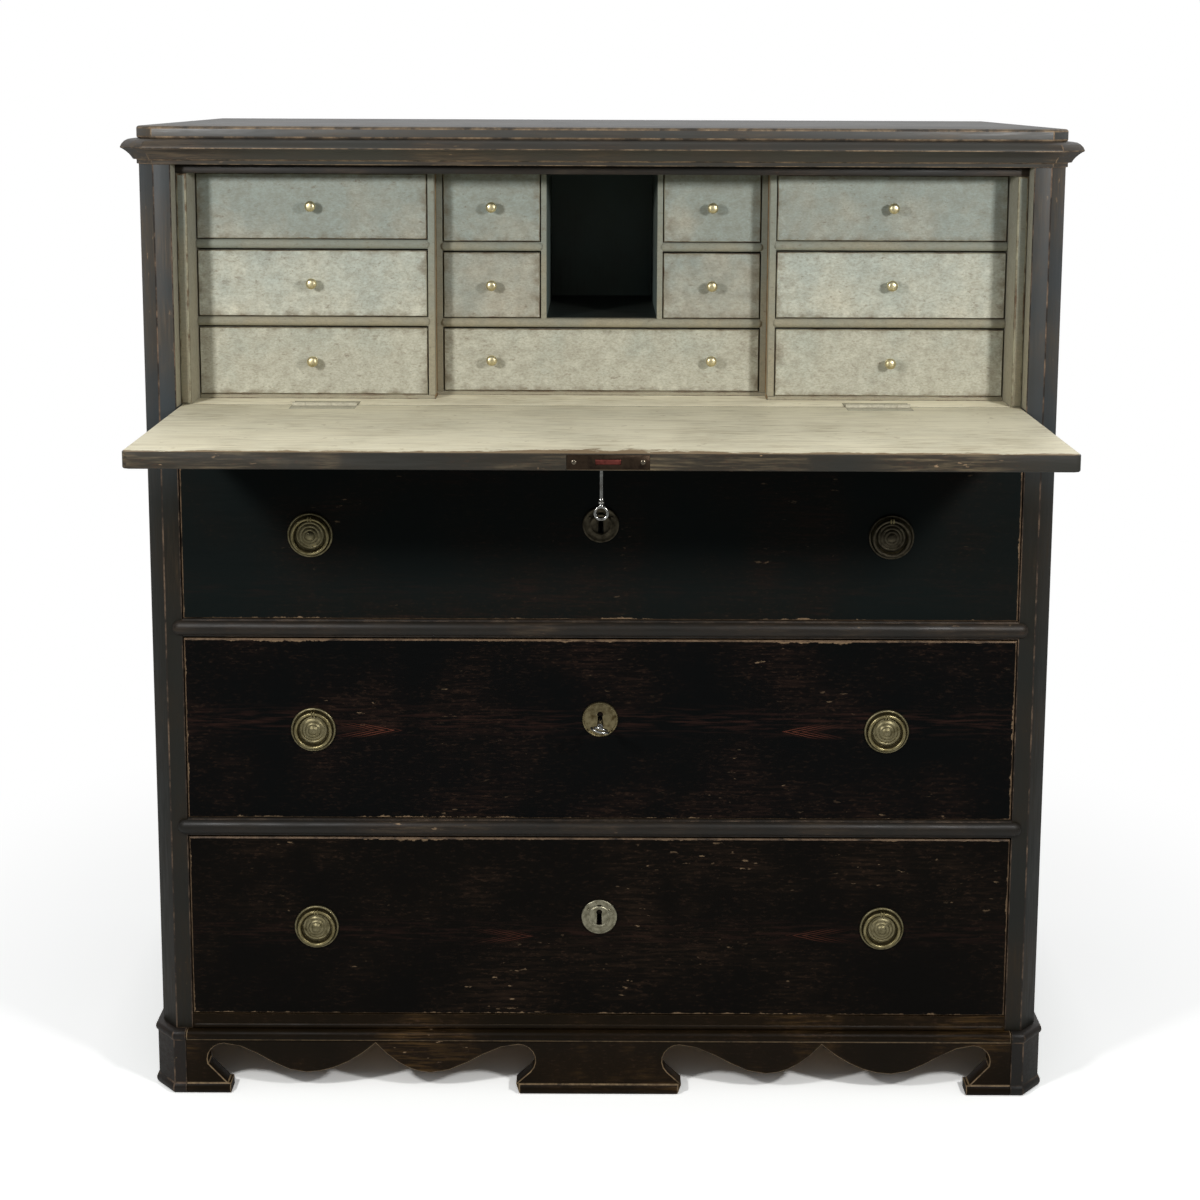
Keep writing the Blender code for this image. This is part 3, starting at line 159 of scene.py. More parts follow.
camera_data = bpy.data.cameras.new("camera")
camera_data.sensor_width = SENSOR_WIDTH
camera_data.lens = CAMERA_LENS
camera_data.shift_y = CAMERA_SHIFT
camera = bpy.data.objects.new("camera", camera_data)
turn = (Matrix.Rotation(math.radians(CAMERA_YAW), 4, "Z")
        @ Matrix.Rotation(math.radians(90 - CAMERA_PITCH), 4, "X")
        @ Matrix.Rotation(math.radians(CAMERA_ROLL), 4, "Z"))
camera.matrix_world = Matrix.Translation(CAMERA_PLACE) @ turn
bpy.context.scene.collection.objects.link(camera)
bpy.context.scene.camera = camera
bpy.context.scene.view_settings.view_transform = "Standard"


# The carcase: sawn and planed pine boards, nailed and glued, with a cornice, rounded rails and a fretted
# plinth. It is brushed with thin black paint over a red-brown ground, and handling has rubbed the edges.
BLACK_WARM = "#241d17"
GROUND_RED = "#34201a"
WORN_BROWN = "#5c4f3e"
# How far below the flap's top the painted shade of the flap fades in, and the colour that darkens the black
# there.
FLAP_SHADE_FADE = 110 * MM
FLAP_SHADE_TINT = "#9c917a"
WORN_WOOD = "#937a5e"
PATCH_SIZE = 110 * MM
STREAK_SIZE = 3.2 * MM
STREAK_RELIEF = 0.25 * MM
CHIP_SIZE = 5.0 * MM
SCUFF_SIZE = 2.4 * MM
SCUFF_BROWN = "#4a3629"
GRAIN_SQUEEZE = 0.07
CHIP_SQUEEZE = 0.3
ARRIS_EASE = 1.1 * MM
ARRIS_PATCH = 26 * MM
EDGE_NOISE = 14 * MM
EDGE_RUB_LEAST = 0.9 * MM
EDGE_RUB_START = 0.4 * MM
RING_WIDTH = 14 * MM
PORE_SIZE = 1.6 * MM
PORE_RELIEF = 0.2 * MM
EDGE_STRETCH = 120 * MM
SHARP_ANGLE = math.radians(32)
ROUND_ANGLE = math.radians(40)
JOIN_GAP = 0.002 * MM
FLAT_ANGLE = math.radians(0.6)
GRAIN_AXES = "xyz"


def squeeze(grain, share):
    """A scale for a pattern that runs long along one axis."""
    return [share if axis == grain else 1.0 for axis in GRAIN_AXES]


def new_finish(name):
    """A new material: itself, its node tree, its shader and a piece's own coordinates."""
    finish = bpy.data.materials.new(name)
    finish.use_nodes = True
    tree = finish.node_tree
    place = add(tree, "ShaderNodeTexCoord").outputs["Object"]
    return finish, tree, tree.nodes["Principled BSDF"], place


def next_coat(paint):
    """What another layer on a paint needs: its node tree, its shader, its colour so far and coordinates."""
    tree = paint.node_tree
    shader = tree.nodes["Principled BSDF"]
    painted = shader.inputs["Base Color"].links[0].from_socket
    place = add(tree, "ShaderNodeTexCoord").outputs["Object"]
    return tree, shader, painted, place


def black_paint(name, grain, rubbed, seed, cold, warm, under, shine):
    """Old black oil paint in two tones: the ground shows in streaks along the grain, scuffs and chips."""
    paint, tree, shader, place = new_finish(name)
    shifted = add(tree, "ShaderNodeMapping",
                  {"Vector": place, "Location": (seed, seed * 0.7, -seed)}).outputs[0]
    along = add(tree, "ShaderNodeMapping",
                {"Vector": shifted, "Scale": squeeze(grain, GRAIN_SQUEEZE)}).outputs[0]
    short = add(tree, "ShaderNodeMapping",
                {"Vector": shifted, "Scale": squeeze(grain, CHIP_SQUEEZE)}).outputs[0]
    cloud = add(tree, "ShaderNodeTexNoise",
                {"Vector": shifted, "Scale": 1 / PATCH_SIZE, "Detail": 4.0}).outputs[0]
    streak = add(tree, "ShaderNodeTexNoise",
                 {"Vector": along, "Scale": 1 / STREAK_SIZE, "Detail": 4.0, "Roughness": 0.62}).outputs[0]
    chip = add(tree, "ShaderNodeTexNoise",
               {"Vector": short, "Scale": 1 / CHIP_SIZE, "Detail": 5.0, "Roughness": 0.55}).outputs[0]
    warmth = add(tree, "ShaderNodeMapRange", {"Value": cloud, "From Min": 0.38, "From Max": 0.66}).outputs[0]
    black = add(tree, "ShaderNodeMix", {0: warmth, 6: linear(cold), 7: linear(warm)}, data_type="RGBA")
    rub_place = add(tree, "ShaderNodeMapRange",
                    {"Value": cloud, "From Min": 0.50, "From Max": 0.68, "To Max": rubbed}).outputs[0]
    rub_line = add(tree, "ShaderNodeMapRange",
                   {"Value": streak, "From Min": 0.46, "From Max": 0.68}).outputs[0]
    rub = add(tree, "ShaderNodeMath", {0: rub_place, 1: rub_line}, operation="MULTIPLY").outputs[0]
    worn_black = add(tree, "ShaderNodeMix", {0: rub, 6: black.outputs[2], 7: linear(under)}, data_type="RGBA")
    scuff = add(tree, "ShaderNodeTexNoise",
                {"Vector": short, "Scale": 1 / SCUFF_SIZE, "Detail": 4.0, "Roughness": 0.7}).outputs[0]
    scuff_place = add(tree, "ShaderNodeMapRange",
                      {"Value": cloud, "From Min": 0.36, "From Max": 0.62, "To Max": rubbed}).outputs[0]
    scuff_spot = add(tree, "ShaderNodeMapRange",
                     {"Value": scuff, "From Min": 0.55, "From Max": 0.74, "To Max": 0.7}).outputs[0]
    scuffed = add(tree, "ShaderNodeMath", {0: scuff_place, 1: scuff_spot}, operation="MULTIPLY").outputs[0]
    rubbed_black = add(tree, "ShaderNodeMix", {0: scuffed, 6: worn_black.outputs[2], 7: linear(SCUFF_BROWN)},
                       data_type="RGBA")
    chip_place = add(tree, "ShaderNodeMapRange",
                     {"Value": cloud, "From Min": 0.54, "From Max": 0.62, "To Max": rubbed}).outputs[0]
    chip_spot = add(tree, "ShaderNodeMapRange",
                    {"Value": chip, "From Min": 0.67, "From Max": 0.71}).outputs[0]
    chipped = add(tree, "ShaderNodeMath", {0: chip_place, 1: chip_spot}, operation="MULTIPLY").outputs[0]
    colour = add(tree, "ShaderNodeMix", {0: chipped, 6: rubbed_black.outputs[2], 7: linear(WORN_WOOD)},
                 data_type="RGBA")
    gloss = add(tree, "ShaderNodeMapRange",
                {"Value": streak, "From Min": 0.3, "From Max": 0.7, "To Min": 0.36,
                 "To Max": 0.56}).outputs[0]
    bump = add(tree, "ShaderNodeBump",
               {"Height": streak, "Strength": 0.35, "Distance": STREAK_RELIEF}).outputs[0]
    tree.links.new(colour.outputs[2], shader.inputs["Base Color"])
    tree.links.new(gloss, shader.inputs["Roughness"])
    tree.links.new(bump, shader.inputs["Normal"])
    shader.inputs["Specular IOR Level"].default_value = shine
    return paint


def worn_arris(name, bare, paint, wood, seed):
    """A rubbed edge: wood bared by hands and dusters in stretches, with paint left between them."""
    edge, tree, shader, place = new_finish(name)
    shifted = add(tree, "ShaderNodeMapping",
                  {"Vector": place, "Location": (seed, -seed, seed * 0.6)}).outputs[0]
    stretch = add(tree, "ShaderNodeTexNoise",
                  {"Vector": shifted, "Scale": 1 / ARRIS_PATCH, "Detail": 6.0, "Roughness": 0.7}).outputs[0]
    tone = add(tree, "ShaderNodeTexNoise",
               {"Vector": shifted, "Scale": 1 / CHIP_SIZE, "Detail": 3.0}).outputs[0]
    bared = add(tree, "ShaderNodeMapRange",
                {"Value": stretch, "From Min": 0.62 - bare * 0.3, "From Max": 0.78 - bare * 0.3}).outputs[0]
    pine = add(tree, "ShaderNodeMix", {0: tone, 6: linear(GROUND_RED), 7: linear(wood)},
               data_type="RGBA").outputs[2]
    colour = add(tree, "ShaderNodeMix", {0: bared, 6: linear(paint), 7: pine}, data_type="RGBA").outputs[2]
    tree.links.new(colour, shader.inputs["Base Color"])
    shader.inputs["Roughness"].default_value = 0.55
    shader.inputs["Specular IOR Level"].default_value = 0.35
    return edge


def bare_pine(name, grain, light, dark):
    """Unpainted pine, gone brown with age: growth rings as bands along the grain, and fine pores."""
    wood, tree, shader, place = new_finish(name)
    along = add(tree, "ShaderNodeMapping",
                {"Vector": place, "Scale": squeeze(grain, GRAIN_SQUEEZE)}).outputs[0]
    ring = add(tree, "ShaderNodeTexNoise",
               {"Vector": along, "Scale": 1 / RING_WIDTH, "Detail": 3.0, "Distortion": 0.6}).outputs[0]
    pore = add(tree, "ShaderNodeTexNoise",
               {"Vector": along, "Scale": 1 / PORE_SIZE, "Detail": 2.0}).outputs[0]
    band = add(tree, "ShaderNodeMapRange", {"Value": ring, "From Min": 0.35, "From Max": 0.65}).outputs[0]
    both = add(tree, "ShaderNodeMix", {0: 0.3, 2: band, 3: pore}, data_type="FLOAT").outputs[0]
    colour = add(tree, "ShaderNodeMix", {0: both, 6: linear(light), 7: linear(dark)},
                 data_type="RGBA").outputs[2]
    bump = add(tree, "ShaderNodeBump", {"Height": pore, "Strength": 0.3, "Distance": PORE_RELIEF}).outputs[0]
    tree.links.new(colour, shader.inputs["Base Color"])
    tree.links.new(bump, shader.inputs["Normal"])
    shader.inputs["Roughness"].default_value = 0.72
    shader.inputs["Specular IOR Level"].default_value = 0.3
    return wood


def bared_edges(paint, box, wood, widest):
    """Bares the wood along the edges of a front that fills a box seen from the front, in uneven widths."""
    low, high = box
    tree, shader, painted, place = next_coat(paint)
    spot = add(tree, "ShaderNodeSeparateXYZ", {0: place})
    across = add(tree, "ShaderNodeMath", {0: spot.outputs["X"], 1: (low.x + high.x) / 2},
                 operation="SUBTRACT").outputs[0]
    reach = add(tree, "ShaderNodeMath", {0: across}, operation="ABSOLUTE").outputs[0]
    from_side = add(tree, "ShaderNodeMath", {0: (high.x - low.x) / 2, 1: reach},
                    operation="SUBTRACT").outputs[0]
    from_top = add(tree, "ShaderNodeMath", {0: high.z, 1: spot.outputs["Z"]}, operation="SUBTRACT").outputs[0]
    from_foot = add(tree, "ShaderNodeMath", {0: spot.outputs["Z"], 1: low.z}, operation="SUBTRACT").outputs[0]
    near = add(tree, "ShaderNodeMath", {0: from_top, 1: from_foot}, operation="MINIMUM").outputs[0]
    nearest = add(tree, "ShaderNodeMath", {0: near, 1: from_side}, operation="MINIMUM").outputs[0]
    ragged = add(tree, "ShaderNodeTexNoise", {"Vector": place, "Scale": 1 / EDGE_NOISE, "Detail": 6.0,
                                              "Roughness": 0.7}).outputs[0]
    stretch = add(tree, "ShaderNodeTexNoise",
                  {"Vector": place, "Scale": 1 / EDGE_STRETCH, "Detail": 2.0}).outputs[0]
    most = add(tree, "ShaderNodeMapRange", {"Value": stretch, "From Min": 0.36, "From Max": 0.66,
                                            "To Min": EDGE_RUB_LEAST, "To Max": widest}).outputs[0]
    share = add(tree, "ShaderNodeMapRange", {"Value": ragged, "From Min": 0.38, "From Max": 0.72}).outputs[0]
    width = add(tree, "ShaderNodeMath", {0: most, 1: share, 2: EDGE_RUB_START},
                operation="MULTIPLY_ADD").outputs[0]
    inside = add(tree, "ShaderNodeMath", {0: nearest, 1: width}, operation="DIVIDE").outputs[0]
    bared = add(tree, "ShaderNodeMapRange", {"Value": inside, "From Min": 0.7, "From Max": 1.0,
                                             "To Min": 0.75, "To Max": 0.0}).outputs[0]
    colour = add(tree, "ShaderNodeMix", {0: bared, 6: painted, 7: linear(wood)}, data_type="RGBA").outputs[2]
    tree.links.new(colour, shader.inputs["Base Color"])
    return paint


def copied(node):
    """A new piece from a CAD node's mesh, its loose triangles merged into whole flat faces."""
    piece = bpy.data.objects.new(node + "_dressed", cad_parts[node].data.copy())
    bpy.context.scene.collection.objects.link(piece)
    piece.data.materials.clear()
    bpy.ops.object.select_all(action="DESELECT")
    piece.select_set(True)
    bpy.context.view_layer.objects.active = piece
    bpy.ops.mesh.customdata_custom_splitnormals_clear()
    bpy.ops.object.mode_set(mode="EDIT")
    bpy.ops.mesh.select_all(action="SELECT")
    bpy.ops.mesh.remove_doubles(threshold=JOIN_GAP)
    bpy.ops.mesh.dissolve_limited(angle_limit=FLAT_ANGLE)
    bpy.ops.object.mode_set(mode="OBJECT")
    return piece


def split(piece, *planes):
    """Cuts new edges into a piece where each plane, a point and a direction, passes through it."""
    bpy.ops.object.mode_set(mode="EDIT")
    for point, direction in planes:
        bpy.ops.mesh.select_all(action="SELECT")
        bpy.ops.mesh.bisect(plane_co=point, plane_no=direction)
    bpy.ops.object.mode_set(mode="OBJECT")


def ease(piece, finish, size, where=None):
    """Rounds a piece's sharp edges, or those whose middle passes the test, and paints the rounding."""
    piece.data.materials.append(finish)
    bpy.ops.object.mode_set(mode="EDIT")
    bpy.ops.mesh.select_mode(type="EDGE")
    bpy.ops.mesh.select_all(action="DESELECT")
    mesh = bmesh.from_edit_mesh(piece.data)
    for edge in mesh.edges:
        if len(edge.link_faces) != 2 or edge.calc_face_angle() < SHARP_ANGLE:
            continue
        middle = (edge.verts[0].co + edge.verts[1].co) / 2
        if where is None or where(middle):
            edge.select_set(True)
    bmesh.update_edit_mesh(piece.data)
    bpy.ops.mesh.bevel(offset=size, segments=2, affect="EDGES", clamp_overlap=True,
                       material=len(piece.data.materials) - 1)
    bpy.ops.object.mode_set(mode="OBJECT")


def paint_faces(piece, finish, test):
    """Gives a finish to the faces whose centre and outward direction pass the test."""
    piece.data.materials.append(finish)
    slot = len(piece.data.materials) - 1
    for face in piece.data.polygons:
        if test(face.center, face.normal):
            face.material_index = slot


def seat(piece, node, body):
    """Shades a finished piece and puts it in the place of its CAD node."""
    bpy.ops.object.select_all(action="DESELECT")
    piece.select_set(True)
    bpy.context.view_layer.objects.active = piece
    bpy.ops.object.shade_smooth_by_angle(angle=ROUND_ANGLE)
    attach(piece, body)
    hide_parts(node)


def shaded_below(paint, level):
    """Darkens a paint below a level, fading in over a span beneath it: painted shade of the let-down flap,
    which leaves the paint above it lighter.
    """
    tree, shader, painted, place = next_coat(paint)
    height = add(tree, "ShaderNodeSeparateXYZ", {0: place}).outputs["Z"]
    share = add(tree, "ShaderNodeMapRange",
                {"Value": height, "From Min": level - FLAP_SHADE_FADE, "From Max": level}).outputs[0]
    shade = add(tree, "ShaderNodeMix", {0: share, 6: linear(FLAP_SHADE_TINT), 7: linear("#ffffff")},
                data_type="RGBA").outputs[2]
    colour = add(tree, "ShaderNodeMix", {0: 1.0, 6: painted, 7: shade}, data_type="RGBA",
                 blend_type="MULTIPLY").outputs[2]
    tree.links.new(colour, shader.inputs["Base Color"])
    return paint


# The black is painted lighter on the uprights, the top and the cornice than on the rails and the plinth:
# dust, with painted lamp sheen on the upper parts.
dusty_sheened_black = black_paint("dusty black paint on uprights with painted sheen", "z", 0.7, 3.1,
                          "#34393b", "#3f3b35", WORN_BROWN, 0.3)
# The uprights are painted darker below the flap's top: painted shade of the flap.
black_upright = shaded_below(dusty_sheened_black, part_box("flap")[1].z)
PAINTS = {
    "upright": black_upright,
    "top": black_paint("dusty black paint on the top with painted sheen", "x", 0.8, 0.0,
                       "#40403d", "#444039", WORN_BROWN, 0.4),
    "cornice": black_paint("rubbed black paint on the cornice with painted sheen", "x", 0.9, 7.3,
                           "#34332e", "#38322b", WORN_BROWN, 0.4),
    "rail": black_paint("handled black paint on the rails", "x", 0.9, 5.9,
                        "#201e1a", "#2a231c", "#4a3f30", 0.28),
    "plinth": black_paint("black paint on the plinth", "x", 1.2, 1.9,
                          "#171006", "#22170a", "#553f22", 0.1),
    "plinth side": black_paint("black paint on the plinth's sides", "y", 0.6, 5.2,
                               "#1c1b19", "#241d17", GROUND_RED, 0.3),
}
black_edge = worn_arris("rubbed black edge", 0.55, BLACK_WARM, "#85705a", 1.7)
top_edge = worn_arris("rubbed edge of the top and cornice", 0.72, "#3a332b", "#a08a6c", 4.7)
plinth_edge = worn_arris("rubbed edge of the plinth", 1.0, "#1f1911", "#a58c66", 8.3)
EDGES = {"top": top_edge, "cornice": top_edge}
FRET_TOP = 64 * MM
MOULDING_EASE = 1.6 * MM
FRET_HALF = 470 * MM
pine_across = bare_pine("aged bare pine across", "x", "#a98a62", "#7d5f3f")
pine_upright = bare_pine("aged bare pine upright", "z", "#9c7d58", "#6f5439")
pine_deep = bare_pine("aged bare pine front to back", "y", "#a98a62", "#7d5f3f")
BLACK_BOARDS = {
    "side_left": "upright", "side_right": "upright",
    "plinth_left": "plinth side", "plinth_right": "plinth side",
    "plinth_front": "plinth", "bottom_board": "plinth",
    "drawer_rail_lower": "rail", "drawer_rail_upper": "rail", "desk_rail": "rail",
    "top_rail": "cornice", "cornice": "cornice", "top_board": "top",
}
RAIL_SHOWN = 24 * MM
front_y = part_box("post_left")[0].y

for node, coat in BLACK_BOARDS.items():
    board = copied(node)
    board.data.materials.append(PAINTS[coat])
    if node.startswith("drawer_rail") or node == "bottom_board":
        split(board, ((0, front_y + RAIL_SHOWN, 0), (0, 1, 0)))
        paint_faces(board, pine_across, lambda centre, normal: centre.y > front_y + RAIL_SHOWN)
    if node.startswith("side"):
        outer = abs(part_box(node)[0].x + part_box(node)[1].x) / 2
        paint_faces(board, pine_upright, lambda centre, normal: abs(centre.x) < outer)
    if coat == "plinth":
        ease(board, plinth_edge, ARRIS_EASE, lambda middle: middle.z < FRET_TOP and abs(middle.x) < FRET_HALF)
        ease(board, plinth_edge, MOULDING_EASE, lambda middle: middle.z > FRET_TOP)
    else:
        ease(board, EDGES.get(coat, black_edge), ARRIS_EASE)
    seat(board, node, "carcase")

back = copied("back_panel")
back.data.materials.append(pine_upright)
ease(back, pine_upright, ARRIS_EASE)
seat(back, "back_panel", "carcase")


# The corner posts: canted pine uprights, black outside like the sides. Their inner faces stand in the
# writing space, so there they wear the pale paint of the gallery.
PALE_COOL = "#84887d"
PALE_WARM = "#989079"
PALE_SMOKE = "#757363"
PALE_RUST = "#65523d"
# The colour, widths and patches of the darkening towards a pale front's edges.
EDGE_DARK = "#6b5f4b"
EDGE_DARK_SIDES = 16 * MM
EDGE_DARK_TOP_FOOT = 9 * MM
EDGE_DARK_CLOUD = 16 * MM
EDGE_DARK_ALL_OVER = 0.3
MOTTLE_SIZE = 60 * MM
SPECK_SIZE = 4.5 * MM
BLOTCH_SIZE = 4.6 * MM
BLOTCH_BROWN = "#6e6554"
BRUSH_SIZE = 1.7 * MM
BRUSH_RELIEF = 0.2 * MM
BRUSH_SQUEEZE = 0.55
GALLERY_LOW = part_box("desk_floor")[1].z
GALLERY_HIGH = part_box("gallery_top")[0].z
DESK_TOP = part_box("flap")[1].z


def pale_paint(name, grain, cool, warm, seed):
    """Thin grey-green distemper, cooler at the top: mottled, smoky, rubbed in blotches and specked."""
    paint, tree, shader, place = new_finish(name)
    shifted = add(tree, "ShaderNodeMapping",
                  {"Vector": place, "Location": (seed, seed, seed * 0.5)}).outputs[0]
    along = add(tree, "ShaderNodeMapping",
                {"Vector": shifted, "Scale": squeeze(grain, BRUSH_SQUEEZE)}).outputs[0]
    height = add(tree, "ShaderNodeSeparateXYZ", {0: place}).outputs["Z"]
    rise = add(tree, "ShaderNodeMapRange",
               {"Value": height, "From Min": GALLERY_LOW, "From Max": GALLERY_HIGH, "To Min": -0.3,
                "To Max": 0.3}, clamp=True).outputs[0]
    mottle = add(tree, "ShaderNodeTexNoise", {"Vector": shifted, "Scale": 1 / MOTTLE_SIZE, "Detail": 5.0,
                                              "Roughness": 0.6}).outputs[0]
    brush = add(tree, "ShaderNodeTexNoise", {"Vector": along, "Scale": 1 / BRUSH_SIZE, "Detail": 4.0,
                                             "Roughness": 0.65}).outputs[0]
    speck = add(tree, "ShaderNodeTexNoise", {"Vector": along, "Scale": 1 / SPECK_SIZE, "Detail": 5.0,
                                             "Roughness": 0.7}).outputs[0]
    lift = add(tree, "ShaderNodeMath", {0: mottle, 1: rise}, operation="ADD").outputs[0]
    coolness = add(tree, "ShaderNodeMapRange", {"Value": lift, "From Min": 0.3, "From Max": 0.7}).outputs[0]
    base = add(tree, "ShaderNodeMix", {0: coolness, 6: linear(warm), 7: linear(cool)},
               data_type="RGBA").outputs[2]
    smoke = add(tree, "ShaderNodeMapRange", {"Value": brush, "From Min": 0.4, "From Max": 0.75,
                                             "To Max": 0.5}).outputs[0]
    smoked = add(tree, "ShaderNodeMix", {0: smoke, 6: base, 7: linear(PALE_SMOKE)},
                 data_type="RGBA").outputs[2]
    rust = add(tree, "ShaderNodeMapRange", {"Value": speck, "From Min": 0.59, "From Max": 0.73,
                                            "To Max": 0.65}).outputs[0]
    blotch = add(tree, "ShaderNodeTexNoise", {"Vector": along, "Scale": 1 / BLOTCH_SIZE, "Detail": 7.0,
                                              "Roughness": 0.78}).outputs[0]
    rubbed_off = add(tree, "ShaderNodeMapRange", {"Value": blotch, "From Min": 0.46, "From Max": 0.68,
                                                  "To Max": 0.34}).outputs[0]
    blotched = add(tree, "ShaderNodeMix", {0: rubbed_off, 6: smoked, 7: linear(BLOTCH_BROWN)},
                   data_type="RGBA").outputs[2]
    colour = add(tree, "ShaderNodeMix", {0: rust, 6: blotched, 7: linear(PALE_RUST)},
                 data_type="RGBA").outputs[2]
    bump = add(tree, "ShaderNodeBump",
               {"Height": brush, "Strength": 0.3, "Distance": BRUSH_RELIEF}).outputs[0]
    tree.links.new(colour, shader.inputs["Base Color"])
    tree.links.new(bump, shader.inputs["Normal"])
    shader.inputs["Roughness"].default_value = 0.68
    shader.inputs["Specular IOR Level"].default_value = 0.3
    return paint


def darkened_to_edges(paint, box):
    """Darkens a pale front towards its edges in patches, widest at its two sides, and a little all over."""
    low, high = box
    tree, shader, painted, place = next_coat(paint)
    spot = add(tree, "ShaderNodeSeparateXYZ", {0: place})
    shares = []
    for axis, depth in (("x", EDGE_DARK_SIDES), ("z", EDGE_DARK_TOP_FOOT)):
        middle = (getattr(low, axis) + getattr(high, axis)) / 2
        half = (getattr(high, axis) - getattr(low, axis)) / 2
        off = add(tree, "ShaderNodeMath", {0: spot.outputs[axis.upper()], 1: middle},
                  operation="SUBTRACT").outputs[0]
        reach = add(tree, "ShaderNodeMath", {0: off}, operation="ABSOLUTE").outputs[0]
        shares.append(add(tree, "ShaderNodeMapRange",
                          {"Value": reach, "From Min": half - depth, "From Max": half},
                          interpolation_type="SMOOTHSTEP").outputs[0])
    edge = add(tree, "ShaderNodeMath", {0: shares[0], 1: shares[1]}, operation="MAXIMUM").outputs[0]
    cloud = add(tree, "ShaderNodeTexNoise", {"Vector": place, "Scale": 1 / EDGE_DARK_CLOUD, "Detail": 5.0,
                                             "Roughness": 0.65}).outputs[0]
    patch = add(tree, "ShaderNodeMapRange",
                {"Value": cloud, "From Min": 0.38, "From Max": 0.66, "To Min": 0.0,
                 "To Max": 0.85}).outputs[0]
    spread = add(tree, "ShaderNodeMapRange", {"Value": edge, "To Min": EDGE_DARK_ALL_OVER}).outputs[0]
    amount = add(tree, "ShaderNodeMath", {0: spread, 1: patch}, operation="MULTIPLY").outputs[0]
    colour = add(tree, "ShaderNodeMix", {0: amount, 6: painted, 7: linear(EDGE_DARK)},
                 data_type="RGBA").outputs[2]
    tree.links.new(colour, shader.inputs["Base Color"])
    return paint


pale_upright = pale_paint("pale paint on uprights", "z", "#959386", "#9e9884", 2.3)
pale_across = pale_paint("pale paint on shelves", "x", PALE_COOL, PALE_WARM, 4.4)
pale_edge = worn_arris("rubbed pale edge", 0.6, "#8d8973", "#705b40", 6.1)
OPENING_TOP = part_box("top_rail")[0].z

for side in ("left", "right"):
    node = "post_" + side
    post = copied(node)
    post.data.materials.append(black_upright)
    split(post, ((0, 0, DESK_TOP), (0, 0, 1)), ((0, 0, OPENING_TOP), (0, 0, 1)))
    inward = 1 if side == "left" else -1
    paint_faces(post, pale_upright, lambda centre, normal: (
        DESK_TOP < centre.z < OPENING_TOP and (normal.x * inward > 0.9 or normal.y > 0.9)))
    ease(post, black_edge, ARRIS_EASE, lambda middle: abs(middle.z - DESK_TOP) > MM)
    seat(post, node, "carcase")


# The gallery: thin pine shelves and walls, housed into each other and slid in as three boxes on the desk
# floor. All that shows is painted pale, but the front of the gallery's top is black: painted shade under the
# cornice. The pigeonhole is dark inside, its walls painted lighter as painted light, and the rest is bare.
PALE_DEPTH = 60 * MM
NOSE_ROUND = 2.2 * MM
CENTRE_PALE_DEPTH = 12 * MM
THIN_EASE = 0.6 * MM
bank_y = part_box("gallery_bank_left")[0].y
centre_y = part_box("gallery_centre")[0].y
HOLE_HALF = 64.2 * MM
HOLE_LOW = 893 * MM
HOLE_BEGINS = 10 * MM
# The pigeonhole's walls, back and ceiling are painted lighter than their dark paint: painted light, where the
# lamps reach little.
hole_paint_lit = black_paint("dark paint in the pigeonhole, painted lighter as lit", "z", 0.2, 8.8,
                        "#66736e", "#60665f", GROUND_RED, 0.3)
hole_floor = black_paint("dark paint on the pigeonhole's floor", "x", 0.2, 9.4,
                         "#2c3230", "#2a2d29", GROUND_RED, 0.2)


def in_pigeonhole(centre, normal):
    """Tells whether a face looks into the pigeonhole."""
    return (abs(centre.x) < HOLE_HALF and centre.y > centre_y + HOLE_BEGINS and centre.z > HOLE_LOW
            and abs(normal.y) < 0.9)


for side in ("left", "right"):
    node = "gallery_bank_" + side
    bank = copied(node)
    bank.data.materials.append(pale_across)
    split(bank, ((0, bank_y + PALE_DEPTH, 0), (0, 1, 0)))
    paint_faces(bank, pine_deep, lambda centre, normal: centre.y > bank_y + PALE_DEPTH)
    paint_faces(bank, pale_upright, lambda centre, normal: (
        centre.y < bank_y + PALE_DEPTH and abs(normal.x) > 0.9))
    ease(bank, pale_edge, NOSE_ROUND, lambda middle: middle.y < bank_y + MM)
    seat(bank, node, "carcase")

middle_box = copied("gallery_centre")
middle_box.data.materials.append(pale_across)
split(middle_box, ((0, centre_y + CENTRE_PALE_DEPTH, 0), (0, 1, 0)))
paint_faces(middle_box, pine_deep, lambda centre, normal: centre.y > centre_y + CENTRE_PALE_DEPTH)
paint_faces(middle_box, hole_paint_lit, in_pigeonhole)
paint_faces(middle_box, hole_floor, lambda centre, normal: in_pigeonhole(centre, normal) and normal.z > 0.9)
ease(middle_box, pale_edge, NOSE_ROUND, lambda middle: middle.y < centre_y + MM)
seat(middle_box, "gallery_centre", "carcase")

ceiling = copied("gallery_top")
ceiling.data.materials.append(pale_across)
split(ceiling, ((HOLE_HALF, 0, 0), (1, 0, 0)), ((-HOLE_HALF, 0, 0), (1, 0, 0)))
paint_faces(ceiling, pine_across, lambda centre, normal: normal.z > 0.9 or normal.y > 0.9)
# The top's front face and its eased edges are painted black: painted shade under the cornice.
paint_faces(ceiling, PAINTS["rail"], lambda centre, normal: normal.y < -0.9)
paint_faces(ceiling, hole_paint_lit, lambda centre, normal: normal.z < -0.9 and abs(centre.x) < HOLE_HALF)
ease(ceiling, PAINTS["rail"], THIN_EASE)
seat(ceiling, "gallery_top", "carcase")

gallery_back = copied("gallery_back")
gallery_back.data.materials.append(pine_across)
split(gallery_back, ((HOLE_HALF, 0, 0), (1, 0, 0)), ((-HOLE_HALF, 0, 0), (1, 0, 0)))
paint_faces(gallery_back, hole_paint_lit, lambda centre, normal: normal.y < -0.9 and abs(centre.x) < HOLE_HALF)
ease(gallery_back, pine_across, THIN_EASE)
seat(gallery_back, "gallery_back", "carcase")


